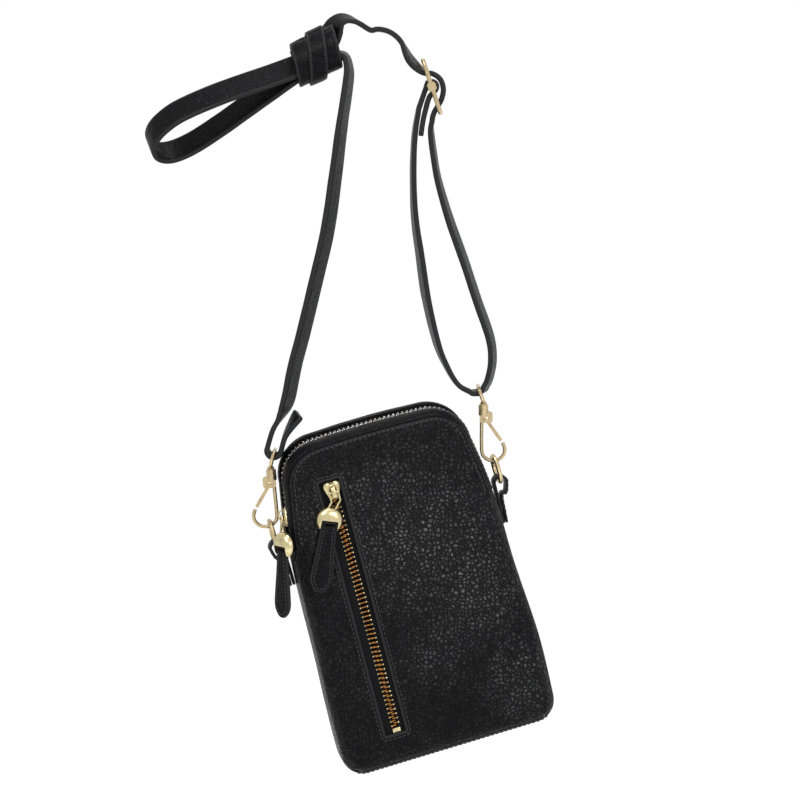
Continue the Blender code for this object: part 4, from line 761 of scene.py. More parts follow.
front_faces = bridge(front_rows, wrap=True)
hide_parts = [front_faces] + [bridge(wrapped(columns)) for columns in (right_columns, left_columns)]
front_mesh = joined("front_hide", hide_parts)
for vert in front_mesh.vertices:
    vert.co = BAG @ vert.co
bm = bmesh.new()
bm.from_mesh(front_mesh)
bmesh.ops.remove_doubles(bm, verts=bm.verts[:], dist=0.00002)
toward_front = BAG.to_3x3() @ Vector((0.0, -1.0, 0.0))
middle_face = max(bm.faces, key=lambda face: face.calc_center_median().dot(toward_front))
if middle_face.normal.dot(toward_front) < 0:
    bmesh.ops.reverse_faces(bm, faces=bm.faces[:])
bm.to_mesh(front_mesh)
bm.free()
front_hide = piece("front_hide", front_mesh, panel_leather, "bag", ["front_panel"])
front_skin = BVHTree.FromObject(front_hide, bpy.context.evaluated_depsgraph_get())
thick = front_hide.modifiers.new("thickness", "SOLIDIFY")
thick.thickness = HIDE
thick.offset = -1.0
thick.use_even_offset = False
print("front hide faces", len(front_mesh.polygons))

# %% [markdown]
# ## The pocket window
# The zip pocket opens through a long window. It is cut through the finished hide with a Boolean, while the rolled
# lip round it, where the leather is turned in, is a thin half-sunk roll that follows the same outline.
# A ray cast on the hide gives the place and direction of the surface at any point, for the lip and for stitches.

# %% Points on the front hide
FRONT = BAG.to_3x3() @ Vector((0.0, -1.0, 0.0))


def on_front(u, v, lift=0.0):
    """The hide's surface at a place of the front, raised by lift, and its normal."""
    start = BAG @ Vector((u, -0.06, v))
    hit, normal, _, _ = front_skin.ray_cast(start, -FRONT)
    if normal.dot(FRONT) < 0:
        normal = -normal
    return hit + normal * lift, normal


WINDOW_LEFT, WINDOW_RIGHT = -0.0361, -0.0236
WINDOW_LOW, WINDOW_HIGH = 0.0157, 0.1657
WINDOW_CORNER = 0.0011


def window_outline(grow, steps=5, gap=0.004):
    """Points round the window, grown outwards, in u and v."""
    left, right = WINDOW_LEFT - grow, WINDOW_RIGHT + grow
    low, high = WINDOW_LOW - grow, WINDOW_HIGH + grow
    radius = WINDOW_CORNER + grow
    points = []
    for corner_u, corner_v, start in (
        (right - radius, high - radius, 0), (left + radius, high - radius, 90),
        (left + radius, low + radius, 180), (right - radius, low + radius, 270),
    ):
        for i in range(steps + 1):
            angle = math.radians(start + 90 * i / steps)
            points.append((corner_u + radius * math.cos(angle), corner_v + radius * math.sin(angle)))
    fine = []
    for (a, b), (c, d) in zip(points, points[1:] + points[:1]):
        pieces = max(1, int(math.hypot(c - a, d - b) / gap))
        fine += [(a + (c - a) * i / pieces, b + (d - b) * i / pieces) for i in range(pieces)]
    return fine


outline = window_outline(0.0)
rows = [[BAG @ Vector((u, w, v)) for u, v in outline] for w in (-0.045, -0.0125)]
cutter = bpy.data.objects.new("window_cutter", new_mesh("window_cutter", *bridge(rows, wrap=True, caps=True)))
bpy.context.scene.collection.objects.link(cutter)
cut = front_hide.modifiers.new("window", "BOOLEAN")
cut.operation = "DIFFERENCE"
cut.solver = "EXACT"
cut.object = cutter
apply_modifiers(front_hide)
bpy.data.objects.remove(cutter)
print("front hide with its window", len(front_hide.data.polygons), "faces")

# %% Grain and edge attributes of the front hide
to_bag = BAG.inverted()


def grain_and_sheen_at(u, v):
    """Strong pebbles right of the middle and low on the right, ironed almost flat elsewhere; the same value places
    the painted highlight and sheen.
    """
    spots = [
        (0.016, 0.116, 0.034, 0.036, 1.0), (0.034, 0.086, 0.022, 0.030, 0.95), (0.046, 0.026, 0.018, 0.022, 0.7),
        (0.004, 0.152, 0.040, 0.020, 0.60), (-0.046, 0.150, 0.012, 0.030, 0.50), (0.006, 0.060, 0.024, 0.024, 0.45),
    ]
    most = 0.13
    for at_u, at_v, wide, high, share in spots:
        reach = ((u - at_u) / wide) ** 2 + ((v - at_v) / high) ** 2
        most = max(most, share * math.exp(-reach * 0.75))
    cloud = noise.noise(Vector((u * 30, v * 30, 2.0)))
    return min(max(most + 0.16 * cloud, 0.05), 1.0)


def store(mesh, name, values):
    """Keep one number for each vertex of a mesh."""
    mesh.attributes.new(name, "FLOAT", "POINT").data.foreach_set("value", values)


# Per point: how strong the pebbles are, and where the painted highlight and sheen lighten the colour.
grain_and_sheen_values, edges = [], []
for vert in front_hide.data.vertices:
    place = to_bag @ vert.co
    grain_and_sheen_values.append(grain_and_sheen_at(place.x, place.z))
    # The sewn top rim gets the lighter edge tone: edge paint and partly a painted rim highlight.
    near_rim = place.z > ZIP_END - 0.004 and place.y > -(FACE_DEPTH + 0.0002)
    edges.append(0.8 if near_rim and place.y < -HALF_DEPTH + 0.001 else 0.0)
store(front_hide.data, "grain_and_sheen", grain_and_sheen_values)
store(front_hide.data, "edge", edges)
print("grain from", round(min(grain_and_sheen_values), 2), "to", round(max(grain_and_sheen_values), 2))

# %% Rolled lip round the window
LIP = 0.00075
lip_points, lip_normals = [], []
for u, v in window_outline(0.0004):
    place, normal = on_front(u, v, LIP * -0.35)
    lip_points.append(place)
    lip_normals.append(normal)
rows = []
for point, along, normal in zip(lip_points, tangents(lip_points, closed=True), lip_normals):
    side = along.cross(normal).normalized()
    rows.append([point + side * x * 1.25 + normal * y for x, y in circle(LIP, 8)])
rows.append(rows[0])
lip_mesh = new_mesh("window_lip", *bridge(rows, wrap=True))
# The whole lip gets the lighter edge tone: edge paint and partly a painted highlight along the window.
store(lip_mesh, "edge", [0.9] * len(lip_mesh.vertices))
piece("window_lip", lip_mesh, side_leather, "bag")
print("lip points", len(lip_points))

# %% [markdown]
# ## Stitches by Geometry Nodes
# A seam repeats one shape along a path, which is what Geometry Nodes are for. The tree takes a line, cuts it to
# equal steps and puts one short rounded stitch on each step, turned along the line. The stitch dips at its ends.
# Its length, thickness and spacing are named inputs, so each seam sets its own.

# %% A stitch and the tree that repeats it


def stitch_shape():
    """A capsule one unit long with few faces."""
    rows = []
    for x, radius in ((-0.5, 0.25), (-0.42, 0.72), (-0.2, 1.0), (0.2, 1.0), (0.42, 0.72), (0.5, 0.25)):
        rows.append([Vector((x, y * radius * 0.5, z * radius * 0.5)) for y, z in circle(1.0, 6)])
    return bpy.data.objects.new("stitch_shape", new_mesh("stitch_shape", *bridge(rows, wrap=True, caps=True)))


def geometry_tree(name, inputs):
    """A Geometry Nodes tree with a geometry input and output and some named values."""
    made = bpy.data.node_groups.new(name, "GeometryNodeTree")
    made.interface.new_socket("Geometry", in_out="INPUT", socket_type="NodeSocketGeometry")
    made.interface.new_socket("Geometry", in_out="OUTPUT", socket_type="NodeSocketGeometry")
    for label, kind, value in inputs:
        socket = made.interface.new_socket(label, in_out="INPUT", socket_type=kind)
        if value is not None:
            socket.default_value = value
    return made, made.nodes.new("NodeGroupInput"), made.nodes.new("NodeGroupOutput")


def along_line(tree, given, spacing, shape, scale):
    """Nodes that put a shape on equal steps of a line, x along it and z along the stored up direction."""
    line = add(tree, "GeometryNodeMeshToCurve", {"Mesh": given.outputs["Geometry"]})
    steps = add(tree, "GeometryNodeResampleCurve", {"Curve": line.outputs[0], "Length": spacing}, mode="LENGTH")
    up = add(tree, "GeometryNodeInputNamedAttribute", {"Name": "up"}, data_type="FLOAT_VECTOR")
    upright = add(tree, "FunctionNodeAlignRotationToVector", {"Vector": up.outputs["Attribute"]}, axis="Z")
    forward = add(tree, "GeometryNodeInputTangent")
    turned = add(
        tree, "FunctionNodeAlignRotationToVector",
        {"Rotation": upright.outputs[0], "Vector": forward.outputs[0]}, axis="X", pivot_axis="Z",
    )
    placed = add(
        tree, "GeometryNodeInstanceOnPoints",
        {"Points": steps.outputs[0], "Instance": shape, "Rotation": turned.outputs[0], "Scale": scale},
    )
    return placed.outputs[0]


def close_tree(tree, result, given, geometry):
    """End a tree with real geometry that has its finish."""
    real = add(tree, "GeometryNodeRealizeInstances", {"Geometry": geometry})
    done = add(
        tree, "GeometryNodeSetMaterial", {"Geometry": real.outputs[0], "Material": given.outputs["Finish"]}
    )
    tree.links.new(done.outputs[0], result.inputs[0])


stitch_tree, given, result = geometry_tree("stitch row", [
    ("Spacing", "NodeSocketFloat", 0.0027), ("Length", "NodeSocketFloat", 0.0019),
    ("Thickness", "NodeSocketFloat", 0.0005), ("Shape", "NodeSocketObject", None),
    ("Finish", "NodeSocketMaterial", None),
])
shape = add(stitch_tree, "GeometryNodeObjectInfo", {"Object": given.outputs["Shape"]})
size = add(stitch_tree, "ShaderNodeCombineXYZ", {
    "X": given.outputs["Length"], "Y": given.outputs["Thickness"], "Z": given.outputs["Thickness"],
})
close_tree(stitch_tree, result, given, along_line(
    stitch_tree, given, given.outputs["Spacing"], shape.outputs["Geometry"], size.outputs[0]
))
print("tree", stitch_tree.name, "nodes", len(stitch_tree.nodes))

# %% Rows of instances as plain pieces


def guide_lines(name, lines):
    """Polylines with their up directions, as one mesh of edges; lines are lists of (point, up)."""
    verts, edges, ups = [], [], []
    for line in lines:
        start = len(verts)
        verts += [point for point, _ in line]
        ups += [tuple(up.normalized()) for _, up in line]
        edges += [(start + i, start + i + 1) for i in range(len(line) - 1)]
    mesh = bpy.data.meshes.new(name)
    mesh.from_pydata(verts, edges, [])
    attribute = mesh.attributes.new("up", "FLOAT_VECTOR", "POINT")
    attribute.data.foreach_set("vector", [x for up in ups for x in up])
    made = bpy.data.objects.new(name, mesh)
    bpy.context.scene.collection.objects.link(made)
    return made


def grown(name, lines, node_tree, values, body, stands_for=()):
    """Run a tree on guide lines and keep the result as a plain mesh piece."""
    made = guide_lines(name, lines)
    step = made.modifiers.new("rows", "NODES")
    step.node_group = node_tree
    for item in node_tree.interface.items_tree:
        if item.in_out == "INPUT" and item.name in values:
            step[item.identifier] = values[item.name]
    apply_modifiers(made)
    finish = values["Finish"]
    made.data.materials.clear()
    made.data.materials.append(finish)
    made.data.polygons.foreach_set("material_index", [0] * len(made.data.polygons))
    made.data.shade_smooth()
    made.data.set_sharp_from_angle(angle=math.radians(50))
    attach(made, body)
    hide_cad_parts(*stands_for)
    print(name, "faces", len(made.data.polygons))
    return made


stitch = stitch_shape()


def sew(name, lines, body, spacing=0.0027, length=0.0019, thickness=0.0005):
    """A seam of black thread."""
    values = {"Spacing": spacing, "Length": length, "Thickness": thickness, "Shape": stitch, "Finish": thread}
    return grown(name, lines, stitch_tree, values, body)


# %% Seams of the front hide
RIM_SEAM = 0.0026
top_columns = [i for i in range(count) if SEAM[i].z > ZIP_END + 0.001]
rim_line = []
for i in top_columns:
    inset = SEAM[i] - SEAM_OUT[i] * RIM_SEAM
    rim_line.append(on_front(inset.x, inset.z, 0.00008))
window_seam = [on_front(u, v, 0.00008) for u, v in window_outline(0.0022)]
window_seam.append(window_seam[0])
sew("front_rim_stitches", [rim_line], "bag")
sew("window_stitches", [window_seam], "bag", spacing=0.0026, length=0.0018)

# %% [markdown]
# ## Back panel and base
# The back is a plain hide with the same crown and its own slack. Its rim is sewn to the sides.
# The base is a short band between the two panels, seen from the front only as a dark lip under the lower edge.

# %% Back hide
back_rows, _ = hide_rows(1, False, 11.0)
back_mesh = new_mesh("back_hide", *bridge(back_rows, wrap=True), matrix=BAG)
bm = bmesh.new()
bm.from_mesh(back_mesh)
if sum((face.normal.dot(FRONT) * face.calc_area() for face in bm.faces)) > 0:
    bmesh.ops.reverse_faces(bm, faces=bm.faces[:])
bm.to_mesh(back_mesh)
bm.free()
# The back takes the front's values mirrored: pebble strength and where the painted highlight and sheen fall.
grain_and_sheen_values = [0.75 * grain_and_sheen_at(-(to_bag @ vert.co).x, (to_bag @ vert.co).z) + 0.12 for vert in back_mesh.vertices]
# The back's rim turn gets the lighter edge tone: edge paint and partly a painted rim highlight.
edges = [1.0 if (to_bag @ vert.co).y < FACE_DEPTH - 0.0002 else 0.0 for vert in back_mesh.vertices]
store(back_mesh, "grain_and_sheen", grain_and_sheen_values)
store(back_mesh, "edge", edges)
back_hide = piece("back_hide", back_mesh, panel_leather, "bag", ["back_panel"])
back_skin = BVHTree.FromObject(back_hide, bpy.context.evaluated_depsgraph_get())
thick = back_hide.modifiers.new("thickness", "SOLIDIFY")
thick.thickness = HIDE
thick.offset = -1.0
apply_modifiers(back_hide)


def on_back(u, v, lift=0.0):
    """The back hide's surface at a place, and its normal."""
    start = BAG @ Vector((u, 0.06, v))
    hit, normal, _, _ = back_skin.ray_cast(start, FRONT)
    if normal.dot(FRONT) > 0:
        normal = -normal
    return hit + normal * lift, normal


back_line = []
for i in list(range(count)) + [0]:
    inset = SEAM[i] - SEAM_OUT[i] * RIM_SEAM
    back_line.append(on_back(inset.x, inset.z, 0.00008))
sew("back_rim_stitches", [back_line], "bag")
print("back hide faces", len(back_hide.data.polygons))

# %% Side and base band
band_columns = [i for i in range(count) if SEAM[i].z < ZIP_END - 0.0005]
start_gap = next(k for k in range(len(band_columns)) if band_columns[k] > k)
band_columns = band_columns[start_gap:] + band_columns[:start_gap]
DEPTHS = [HALF_DEPTH * math.sin(math.pi / 2 * (2 * i / 14 - 1)) for i in range(15)]
BAND_EDGE = HALF_DEPTH - 0.0003
rows = []
for i in band_columns:
    point, out = SEAM[i], SEAM_OUT[i]
    under = 0.0016 * smoothstep(0.15, 0.7, abs(out.x))
    depths = [max(min(w, BAND_EDGE), -BAND_EDGE) for w in DEPTHS]
    outer = [round_the_side(point, out, w, under) for w in depths]
    inner = [round_the_side(point, out, w, under + 0.0012) for w in depths[::-1]]
    rows.append(outer + inner)
band_mesh = new_mesh("side_band", *bridge(rows, wrap=True, caps=True), matrix=BAG)
piece("side_band", band_mesh, side_leather, "bag", ["gusset"])
base_line = []
for i in band_columns:
    if SEAM_OUT[i].z < -0.9:
        place = round_the_side(SEAM[i], SEAM_OUT[i], -HALF_DEPTH + 0.003)
        base_line.append((BAG @ (place + SEAM_OUT[i] * 0.0001), BAG.to_3x3() @ SEAM_OUT[i]))
sew("base_stitches", [base_line], "bag")

# %% [markdown]
# ## The main zip
# The zip's strips, tapes and chain follow the seam over the top. The chain swerves forward at its left end.
# Each tooth row is made by one tree: it repeats a shaped tooth on equal steps, and the rows interlock because
# one starts half a step later than the other.

# %% Zip line
ZIP_SWERVE = 0.0055
SWERVE_REACH = 0.040
STRIP_EDGE = 0.0056
STRIP = 0.0013
TAPE = 0.0006
GAP = 0.0003
TAPE_HALF = 0.0088
zip_columns = [i for i in range(count) if SEAM[i].z > ZIP_END - 0.0005]
zip_columns = sorted(zip_columns, key=lambda i: -i)
ZIP_LINE = [(SEAM[i], SEAM_OUT[i]) for i in zip_columns]
TRAVELLED = [0.0]
for (low, _), (high, _) in zip(ZIP_LINE, ZIP_LINE[1:]):
    TRAVELLED.append(TRAVELLED[-1] + (high - low).length)


def zip_middle(travelled):
    """How far the chain lies from mid depth."""
    return -ZIP_SWERVE * (1 - smoothstep(0.0, SWERVE_REACH, travelled))


def zip_band(name, near, far, sink, thickness, stations, finish, stands_for, puff=0.0):
    """A band along the zip with a UV map in metres; near and far give its two edges."""
    rows = []
    for (point, out), distance in zip(ZIP_LINE, TRAVELLED):
        low, high = near(zip_middle(distance)), far(zip_middle(distance))
        depths = [low + (high - low) * i / stations for i in range(stations + 1)]
        lifts = [puff * math.sin(math.pi * i / stations) for i in range(stations + 1)]
        lifts = [lift * (1 + 0.5 * noise.noise(Vector((distance * 60, 1.0, low * 90)))) for lift in lifts]
        outer = [round_the_side(point, out, w, sink - lift) for w, lift in zip(depths, lifts)]
        inner = [round_the_side(point, out, w, sink + thickness) for w in depths[::-1]]
        rows.append(outer + inner)
    mesh = new_mesh(name, *bridge(rows, wrap=True, caps=True))
    cloth_map = mesh.uv_layers.new(name="cloth")
    arch = BAG_HEIGHT * 0.5
    for loop in mesh.loops:
        place = mesh.vertices[loop.vertex_index].co
        turn = math.atan2(place.x, place.z - arch)
        cloth_map.data[loop.index].uv = (turn * arch, place.y)
    mesh.transform(BAG)
    return piece(name, mesh, finish, "bag", stands_for)


edge_w = HALF_DEPTH - GAP
zip_band(
    "front_zip_strip", lambda m: -edge_w, lambda m: m - STRIP_EDGE, 0.0, STRIP, 8, side_leather,
    ["zip_strip_front"], 0.0005,
)
zip_band(
    "back_zip_strip", lambda m: m + STRIP_EDGE, lambda m: edge_w, 0.0, STRIP, 8, side_leather,
    ["zip_strip_back"], 0.0006,
)
zip_band(
    "front_zip_tape", lambda m: max(m - TAPE_HALF, -edge_w), lambda m: m - 0.0013, STRIP + GAP, TAPE, 8,
    tape_cloth, ["main_tape_front"],
)
zip_band(
    "back_zip_tape", lambda m: m + 0.0013, lambda m: m + TAPE_HALF, STRIP + GAP, TAPE, 8, tape_cloth,
    ["main_tape_back"],
)
lines = []
for side in (-1, 1):
    line = []
    for (point, out), distance in zip(ZIP_LINE, TRAVELLED):
        w = zip_middle(distance) + side * (STRIP_EDGE + 0.0013)
        line.append((BAG @ round_the_side(point, out, w, -0.0003), BAG.to_3x3() @ out))
    lines.append(line)
sew("zip_strip_stitches", lines, "bag", spacing=0.0026, length=0.0018, thickness=0.00045)
print("zip length", round(TRAVELLED[-1], 4))

# %% [markdown]
# ## The pocket zip
# The chain stands on two woven tapes behind the window. A metal tooth has a clamp that grips the tape's edge and a
# narrow head that reaches past the middle. Seen small, the clamps are bright dots on both sides of a darker
# middle, so clamps and heads are two shapes with two finishes, each repeated by the same tree. The heads' darker,
# redder brass is painted shade on the chain's middle.

# %% Tooth shapes and their tree
TOOTH_PITCH = 0.0026


def rounded_bar(sections):
    """A block along y from (y, half length, half height) sections, with cut corners."""
    corner_shares = [(1, 0.45), (0.6, 1), (-0.6, 1), (-1, 0.45), (-1, -0.45), (-0.6, -1), (0.6, -1), (1, -0.45)]
    return [[Vector((x * half_x, y, z * half_z)) for x, z in corner_shares] for y, half_x, half_z in sections]


def tooth_part(name, sections):
    """A shape for a tree to repeat."""
    return bpy.data.objects.new(name, new_mesh(name, *bridge(rounded_bar(sections), wrap=True, caps=True)))


CLAMP_SECTIONS = [
    (0.00150, 0.00034, 0.00072), (0.00162, 0.00052, 0.00100), (0.00195, 0.00060, 0.00112),
    (0.00240, 0.00058, 0.00106), (0.00266, 0.00038, 0.00074),
]
HEAD_SECTIONS = [
    (-0.00082, 0.00020, 0.00034), (-0.00066, 0.00038, 0.00066), (-0.00010, 0.00046, 0.00080),
    (0.00100, 0.00046, 0.00080), (0.00165, 0.00040, 0.00074),
]
clamp_shape = tooth_part("clamp_shape", CLAMP_SECTIONS)
head_shape = tooth_part("head_shape", HEAD_SECTIONS)
tooth_tree, given, result = geometry_tree("tooth row", [
    ("Pitch", "NodeSocketFloat", TOOTH_PITCH), ("Size", "NodeSocketFloat", 1.0),
    ("Shape", "NodeSocketObject", None), ("Finish", "NodeSocketMaterial", None),
])
shape = add(tooth_tree, "GeometryNodeObjectInfo", {"Object": given.outputs["Shape"]})
size = add(tooth_tree, "ShaderNodeCombineXYZ", {
    "X": given.outputs["Size"], "Y": given.outputs["Size"], "Z": given.outputs["Size"],
})
close_tree(tooth_tree, result, given, along_line(
    tooth_tree, given, given.outputs["Pitch"], shape.outputs["Geometry"], size.outputs[0]
))
print("tree", tooth_tree.name, "nodes", len(tooth_tree.nodes))


def tooth_row(name, line, clamp_finish, head_finish, stands_for):
    """Clamps and heads along one line; the heads reach to the left of its direction."""
    for label, shape_object, finish, nodes in (
        ("clamps", clamp_shape, clamp_finish, stands_for), ("heads", head_shape, head_finish, ()),
    ):
        values = {"Pitch": TOOTH_PITCH, "Size": 1.0, "Shape": shape_object, "Finish": finish}
        grown(f"{name}_{label}", [line], tooth_tree, values, "bag", nodes)


# %% Pocket chain
POCKET_MIDDLE = -0.0288
POCKET_TAPE_NEAR = -(HALF_DEPTH + PANEL_CROWN) + GAP
POCKET_CHAIN = POCKET_TAPE_NEAR + TAPE / 2
STOP_LENGTH = 0.0030
SLIDER_HEIGHT = WINDOW_HIGH - 0.0072
CHAIN_LOW = WINDOW_LOW + STOP_LENGTH + 2 * GAP + TOOTH_PITCH / 4 + 0.00055
CHAIN_HIGH = SLIDER_HEIGHT + 0.0028
BRIGHT = BAG.to_3x3() @ Vector((0.0, -1.0, 0.0))


def upright_line(u, low, high, reverse=False):
    """A straight chain line with the front as its up direction."""
    rows = int((high - low) / TOOTH_PITCH)
    ends = [low, low + rows * TOOTH_PITCH]
    if reverse:
        ends = ends[::-1]
    return [(BAG @ Vector((u, POCKET_CHAIN, v)), BRIGHT) for v in ends]


left_line = upright_line(POCKET_MIDDLE, CHAIN_LOW, CHAIN_HIGH)
right_line = upright_line(POCKET_MIDDLE, CHAIN_LOW + TOOTH_PITCH / 2, CHAIN_HIGH, reverse=True)
tooth_row("pocket_left_teeth", left_line, clamp_brass, shaded_head_brass, ["pocket_teeth_left"])
tooth_row("pocket_right_teeth", right_line, clamp_brass, shaded_head_brass, ["pocket_teeth_right"])

# %% Pocket tapes, their beads and the bottom stop


def pocket_tape(name, side, stands_for):
    """A woven tape with a corded inner edge and a UV map in metres."""
    section = [
        (0.0012, 0.00030), (0.0013, 0.00062), (0.0017, 0.00070), (0.0021, 0.00060), (0.0023, 0.00030),
        (0.0060, 0.00034), (0.0092, 0.00030),
    ]
    section += [(u, -w) for u, w in section[::-1]]
    rows = []
    steps = 60
    low, high = WINDOW_LOW - 0.0040, WINDOW_HIGH + 0.0040
    for i in range(steps + 1):
        v = low + (high - low) * i / steps
        wave = 0.00008 * noise.noise(Vector((v * 130, side, 0.0)))
        rows.append([Vector((POCKET_MIDDLE + side * u, POCKET_CHAIN + w + wave, v)) for u, w in section])
    mesh = new_mesh(name, *bridge(rows, wrap=True, caps=True))
    cloth_map = mesh.uv_layers.new(name="cloth")
    for loop in mesh.loops:
        place = mesh.vertices[loop.vertex_index].co
        cloth_map.data[loop.index].uv = (place.x, place.z)
    mesh.transform(BAG)
    return piece(name, mesh, tape_cloth, "bag", stands_for)


pocket_tape("pocket_left_tape", -1, ["pocket_tape_left"])
pocket_tape("pocket_right_tape", 1, ["pocket_tape_right"])


def rounded_outline(length, width, radius, steps=4):
    """A rounded rectangle in x and y, centred on the origin."""
    points = []
    for x, y, start in (
        (length / 2 - radius, width / 2 - radius, 0), (radius - length / 2, width / 2 - radius, 90),
        (radius - length / 2, radius - width / 2, 180), (length / 2 - radius, radius - width / 2, 270),
    ):
        for i in range(steps + 1):
            angle = math.radians(start + 90 * i / steps)
            points.append((x + radius * math.cos(angle), y + radius * math.sin(angle)))
    return points


def inset_outline(points, distance):
    """An outline moved inwards along its own normals."""
    count = len(points)
    area = sum(points[i - 1][0] * points[i][1] - points[i][0] * points[i - 1][1] for i in range(count))
    turn = 1 if area > 0 else -1
    moved = []
    for i in range(count):
        (ax, ay), (bx, by) = points[i - 1], points[(i + 1) % count]
        length = math.hypot(bx - ax, by - ay) or 1.0
        nx, ny = -(by - ay) / length * turn, (bx - ax) / length * turn
        moved.append((points[i][0] + nx * distance, points[i][1] + ny * distance))
    return moved


def soft_block(outline, levels):
    """A solid from one outline and (inset, height) levels."""
    return [[Vector((x, y, z)) for x, y in inset_outline(outline, inset)] for inset, z in levels]


stop_levels = [(0.0004, -0.0011), (0.0, -0.0008), (0.0, 0.0007), (0.00012, 0.0010), (0.0005, 0.0012)]
stop_rows = soft_block(rounded_outline(STOP_LENGTH, 0.0046, 0.0005), stop_levels)
stop_frame = BAG @ Matrix.Translation((POCKET_MIDDLE, POCKET_CHAIN, WINDOW_LOW + GAP + STOP_LENGTH / 2))
stop_frame = stop_frame @ Matrix(((0, 1, 0, 0), (0, 0, -1, 0), (-1, 0, 0, 0), (0, 0, 0, 1)))
stop_mesh = new_mesh("pocket_stop", *bridge(stop_rows, wrap=True, caps=True), matrix=stop_frame)
piece("pocket_stop", stop_mesh, pull_brass, "bag", ["pocket_bottom_stop"])
print("pocket zip done")

# %% [markdown]
# ## The main chain
# The main chain bends round both upper corners. A guide line follows it with its own up directions, so each tooth
# stands square to the bend. The teeth are darker metal here than on the pocket.

# %% Main chain
CHAIN_SINK = STRIP + GAP + TAPE / 2
SLIDER_REST = 0.0160
SLIDER_LENGTH = 0.0090


def at_travelled(distance):
    """The seam point and outward direction at a distance along the zip."""
    distance = min(max(distance, 0.0), TRAVELLED[-1])
    i = next((k for k in range(len(TRAVELLED) - 2) if TRAVELLED[k + 1] >= distance), len(TRAVELLED) - 2)
    share = (distance - TRAVELLED[i]) / (TRAVELLED[i + 1] - TRAVELLED[i])
    (low, low_out), (high, high_out) = ZIP_LINE[i], ZIP_LINE[i + 1]
    return low.lerp(high, share), low_out.lerp(high_out, share).normalized()


def chain_point(distance, height=0.0):
    """A point of the main chain's middle in the bag's frame, and its outward direction."""
    point, out = at_travelled(distance)
    return round_the_side(point, out, zip_middle(distance), CHAIN_SINK) + out * height, out


def main_line(first, last, reverse=False):
    """A fine guide along the chain between two distances."""
    steps = 260
    line = []
    for i in range(steps + 1):
        point, out = chain_point(first + (last - first) * i / steps)
        line.append((BAG @ point, BAG.to_3x3() @ out))
    return line[::-1] if reverse else line


chain_first = SLIDER_REST - SLIDER_LENGTH / 2 + 0.0014 + GAP + TOOTH_PITCH / 4 + 0.00055
pairs = int((TRAVELLED[-1] - chain_first - 1.5 * TOOTH_PITCH) / TOOTH_PITCH)
front_line = main_line(chain_first, chain_first + pairs * TOOTH_PITCH, reverse=True)
back_line = main_line(chain_first + TOOTH_PITCH / 2, chain_first + (pairs + 0.5) * TOOTH_PITCH)
tooth_row("main_front_teeth", front_line, gunmetal, gunmetal, ["main_teeth_front"])
tooth_row("main_back_teeth", back_line, gunmetal, gunmetal, ["main_teeth_back"])

# %% [markdown]
# ## Sliders
# A cast slider has two plates with a small diamond between the tooth rows. Here the diamond is two short posts that
# clear the teeth, because the rows stay closed when the slider moves. The top plate is a pair of raised wings with
# a valley between them, and an arched crown over the valley holds the puller's wire.
# The wings are one height function over the plate's outline, which keeps the cast edges soft.

# %% Slider
PLATE_IN = 0.0013
HEAD_CLEAR = 0.00095
PLATE = 0.0010


WING_START, WING_END = -0.0062, 0.0046


def wing_outline(share):
    """Half the top plate's width along its travel; wide where the two rows part."""
    return 0.0051 - 0.0019 * smoothstep(0.25, 0.95, share)


def wing_height(x_share, y_share):
    """The cast relief of the top plate."""
    round_off = math.sqrt(max(1 - abs(y_share) ** 5, 0.0)) * math.sqrt(max(1 - abs(2 * x_share - 1) ** 9, 0.0))
    wing = math.exp(-((abs(y_share) - 0.52) / 0.26) ** 2) * (1 - smoothstep(0.35, 0.95, x_share))
    return PLATE * round_off * (0.85 + 0.75 * wing)


def slider_parts():
    """Vertices and faces of the plates, the diamond and the crown."""
    parts = []
    across, along = 18, 16
    rows = []
    for i in range(along + 1):
        share = i / along
        x = WING_START + (WING_END - WING_START) * share
        pinch = math.sqrt(max(1 - abs(2 * share - 1) ** 7, 0.0))
        notch = 0.0018 * math.exp(-(share / 0.2) ** 2)
        half = wing_outline(share) * max(pinch, 0.66)
        top, bottom = [], []
        for k in range(across + 1):
            y_share = 2 * k / across - 1
            dip = notch * math.exp(-(y_share / 0.22) ** 2)
            top.append(Vector((x + dip, y_share * half, PLATE_IN + wing_height(share, y_share) + 0.0001)))
            bottom.append(Vector((x + dip, y_share * half, PLATE_IN)))
        rows.append(top + bottom[::-1])
    parts.append(bridge(rows, wrap=True, caps=True))
    under = rounded_outline(SLIDER_LENGTH, 0.0084, 0.0018)
    depths = [(0.0007, 1.0), (0.0002, 0.8), (0.0, 0.4), (0.0, 0.0)]
    levels = [(inset, -PLATE_IN - share * PLATE) for inset, share in depths]
    parts.append(bridge(soft_block(under, levels), wrap=True, caps=True))
    diamond = [(x - SLIDER_LENGTH / 2 + 0.0007, y) for x, y in rounded_outline(0.0014, 0.0012, 0.0003)]
    for low, high in ((-PLATE_IN, -HEAD_CLEAR), (HEAD_CLEAR, PLATE_IN)):
        parts.append(bridge(soft_block(diamond, [(0.0, low), (0.0, high)]), wrap=True, caps=True))
    arch = [(-0.0032, 0.0015), (-0.0031, 0.0034), (-0.0022, 0.0047), (-0.0004, 0.0051), (0.0016, 0.0050),
            (0.0028, 0.0043), (0.0032, 0.0030), (0.0032, 0.0015)]
    path = smooth_path([Vector((x, 0.0, z)) for x, z in arch], 4)
    rows = []
    for point, along_path in zip(path, tangents(path)):
        square = along_path.cross(Vector((0.0, 1.0, 0.0)))
        section = rounded_outline(0.0008, 0.0024, 0.00032, 3)
        rows.append([point + square * a + Vector((0.0, b, 0.0)) for a, b in section])
    parts.append(bridge(rows, wrap=True, caps=True))
    return parts


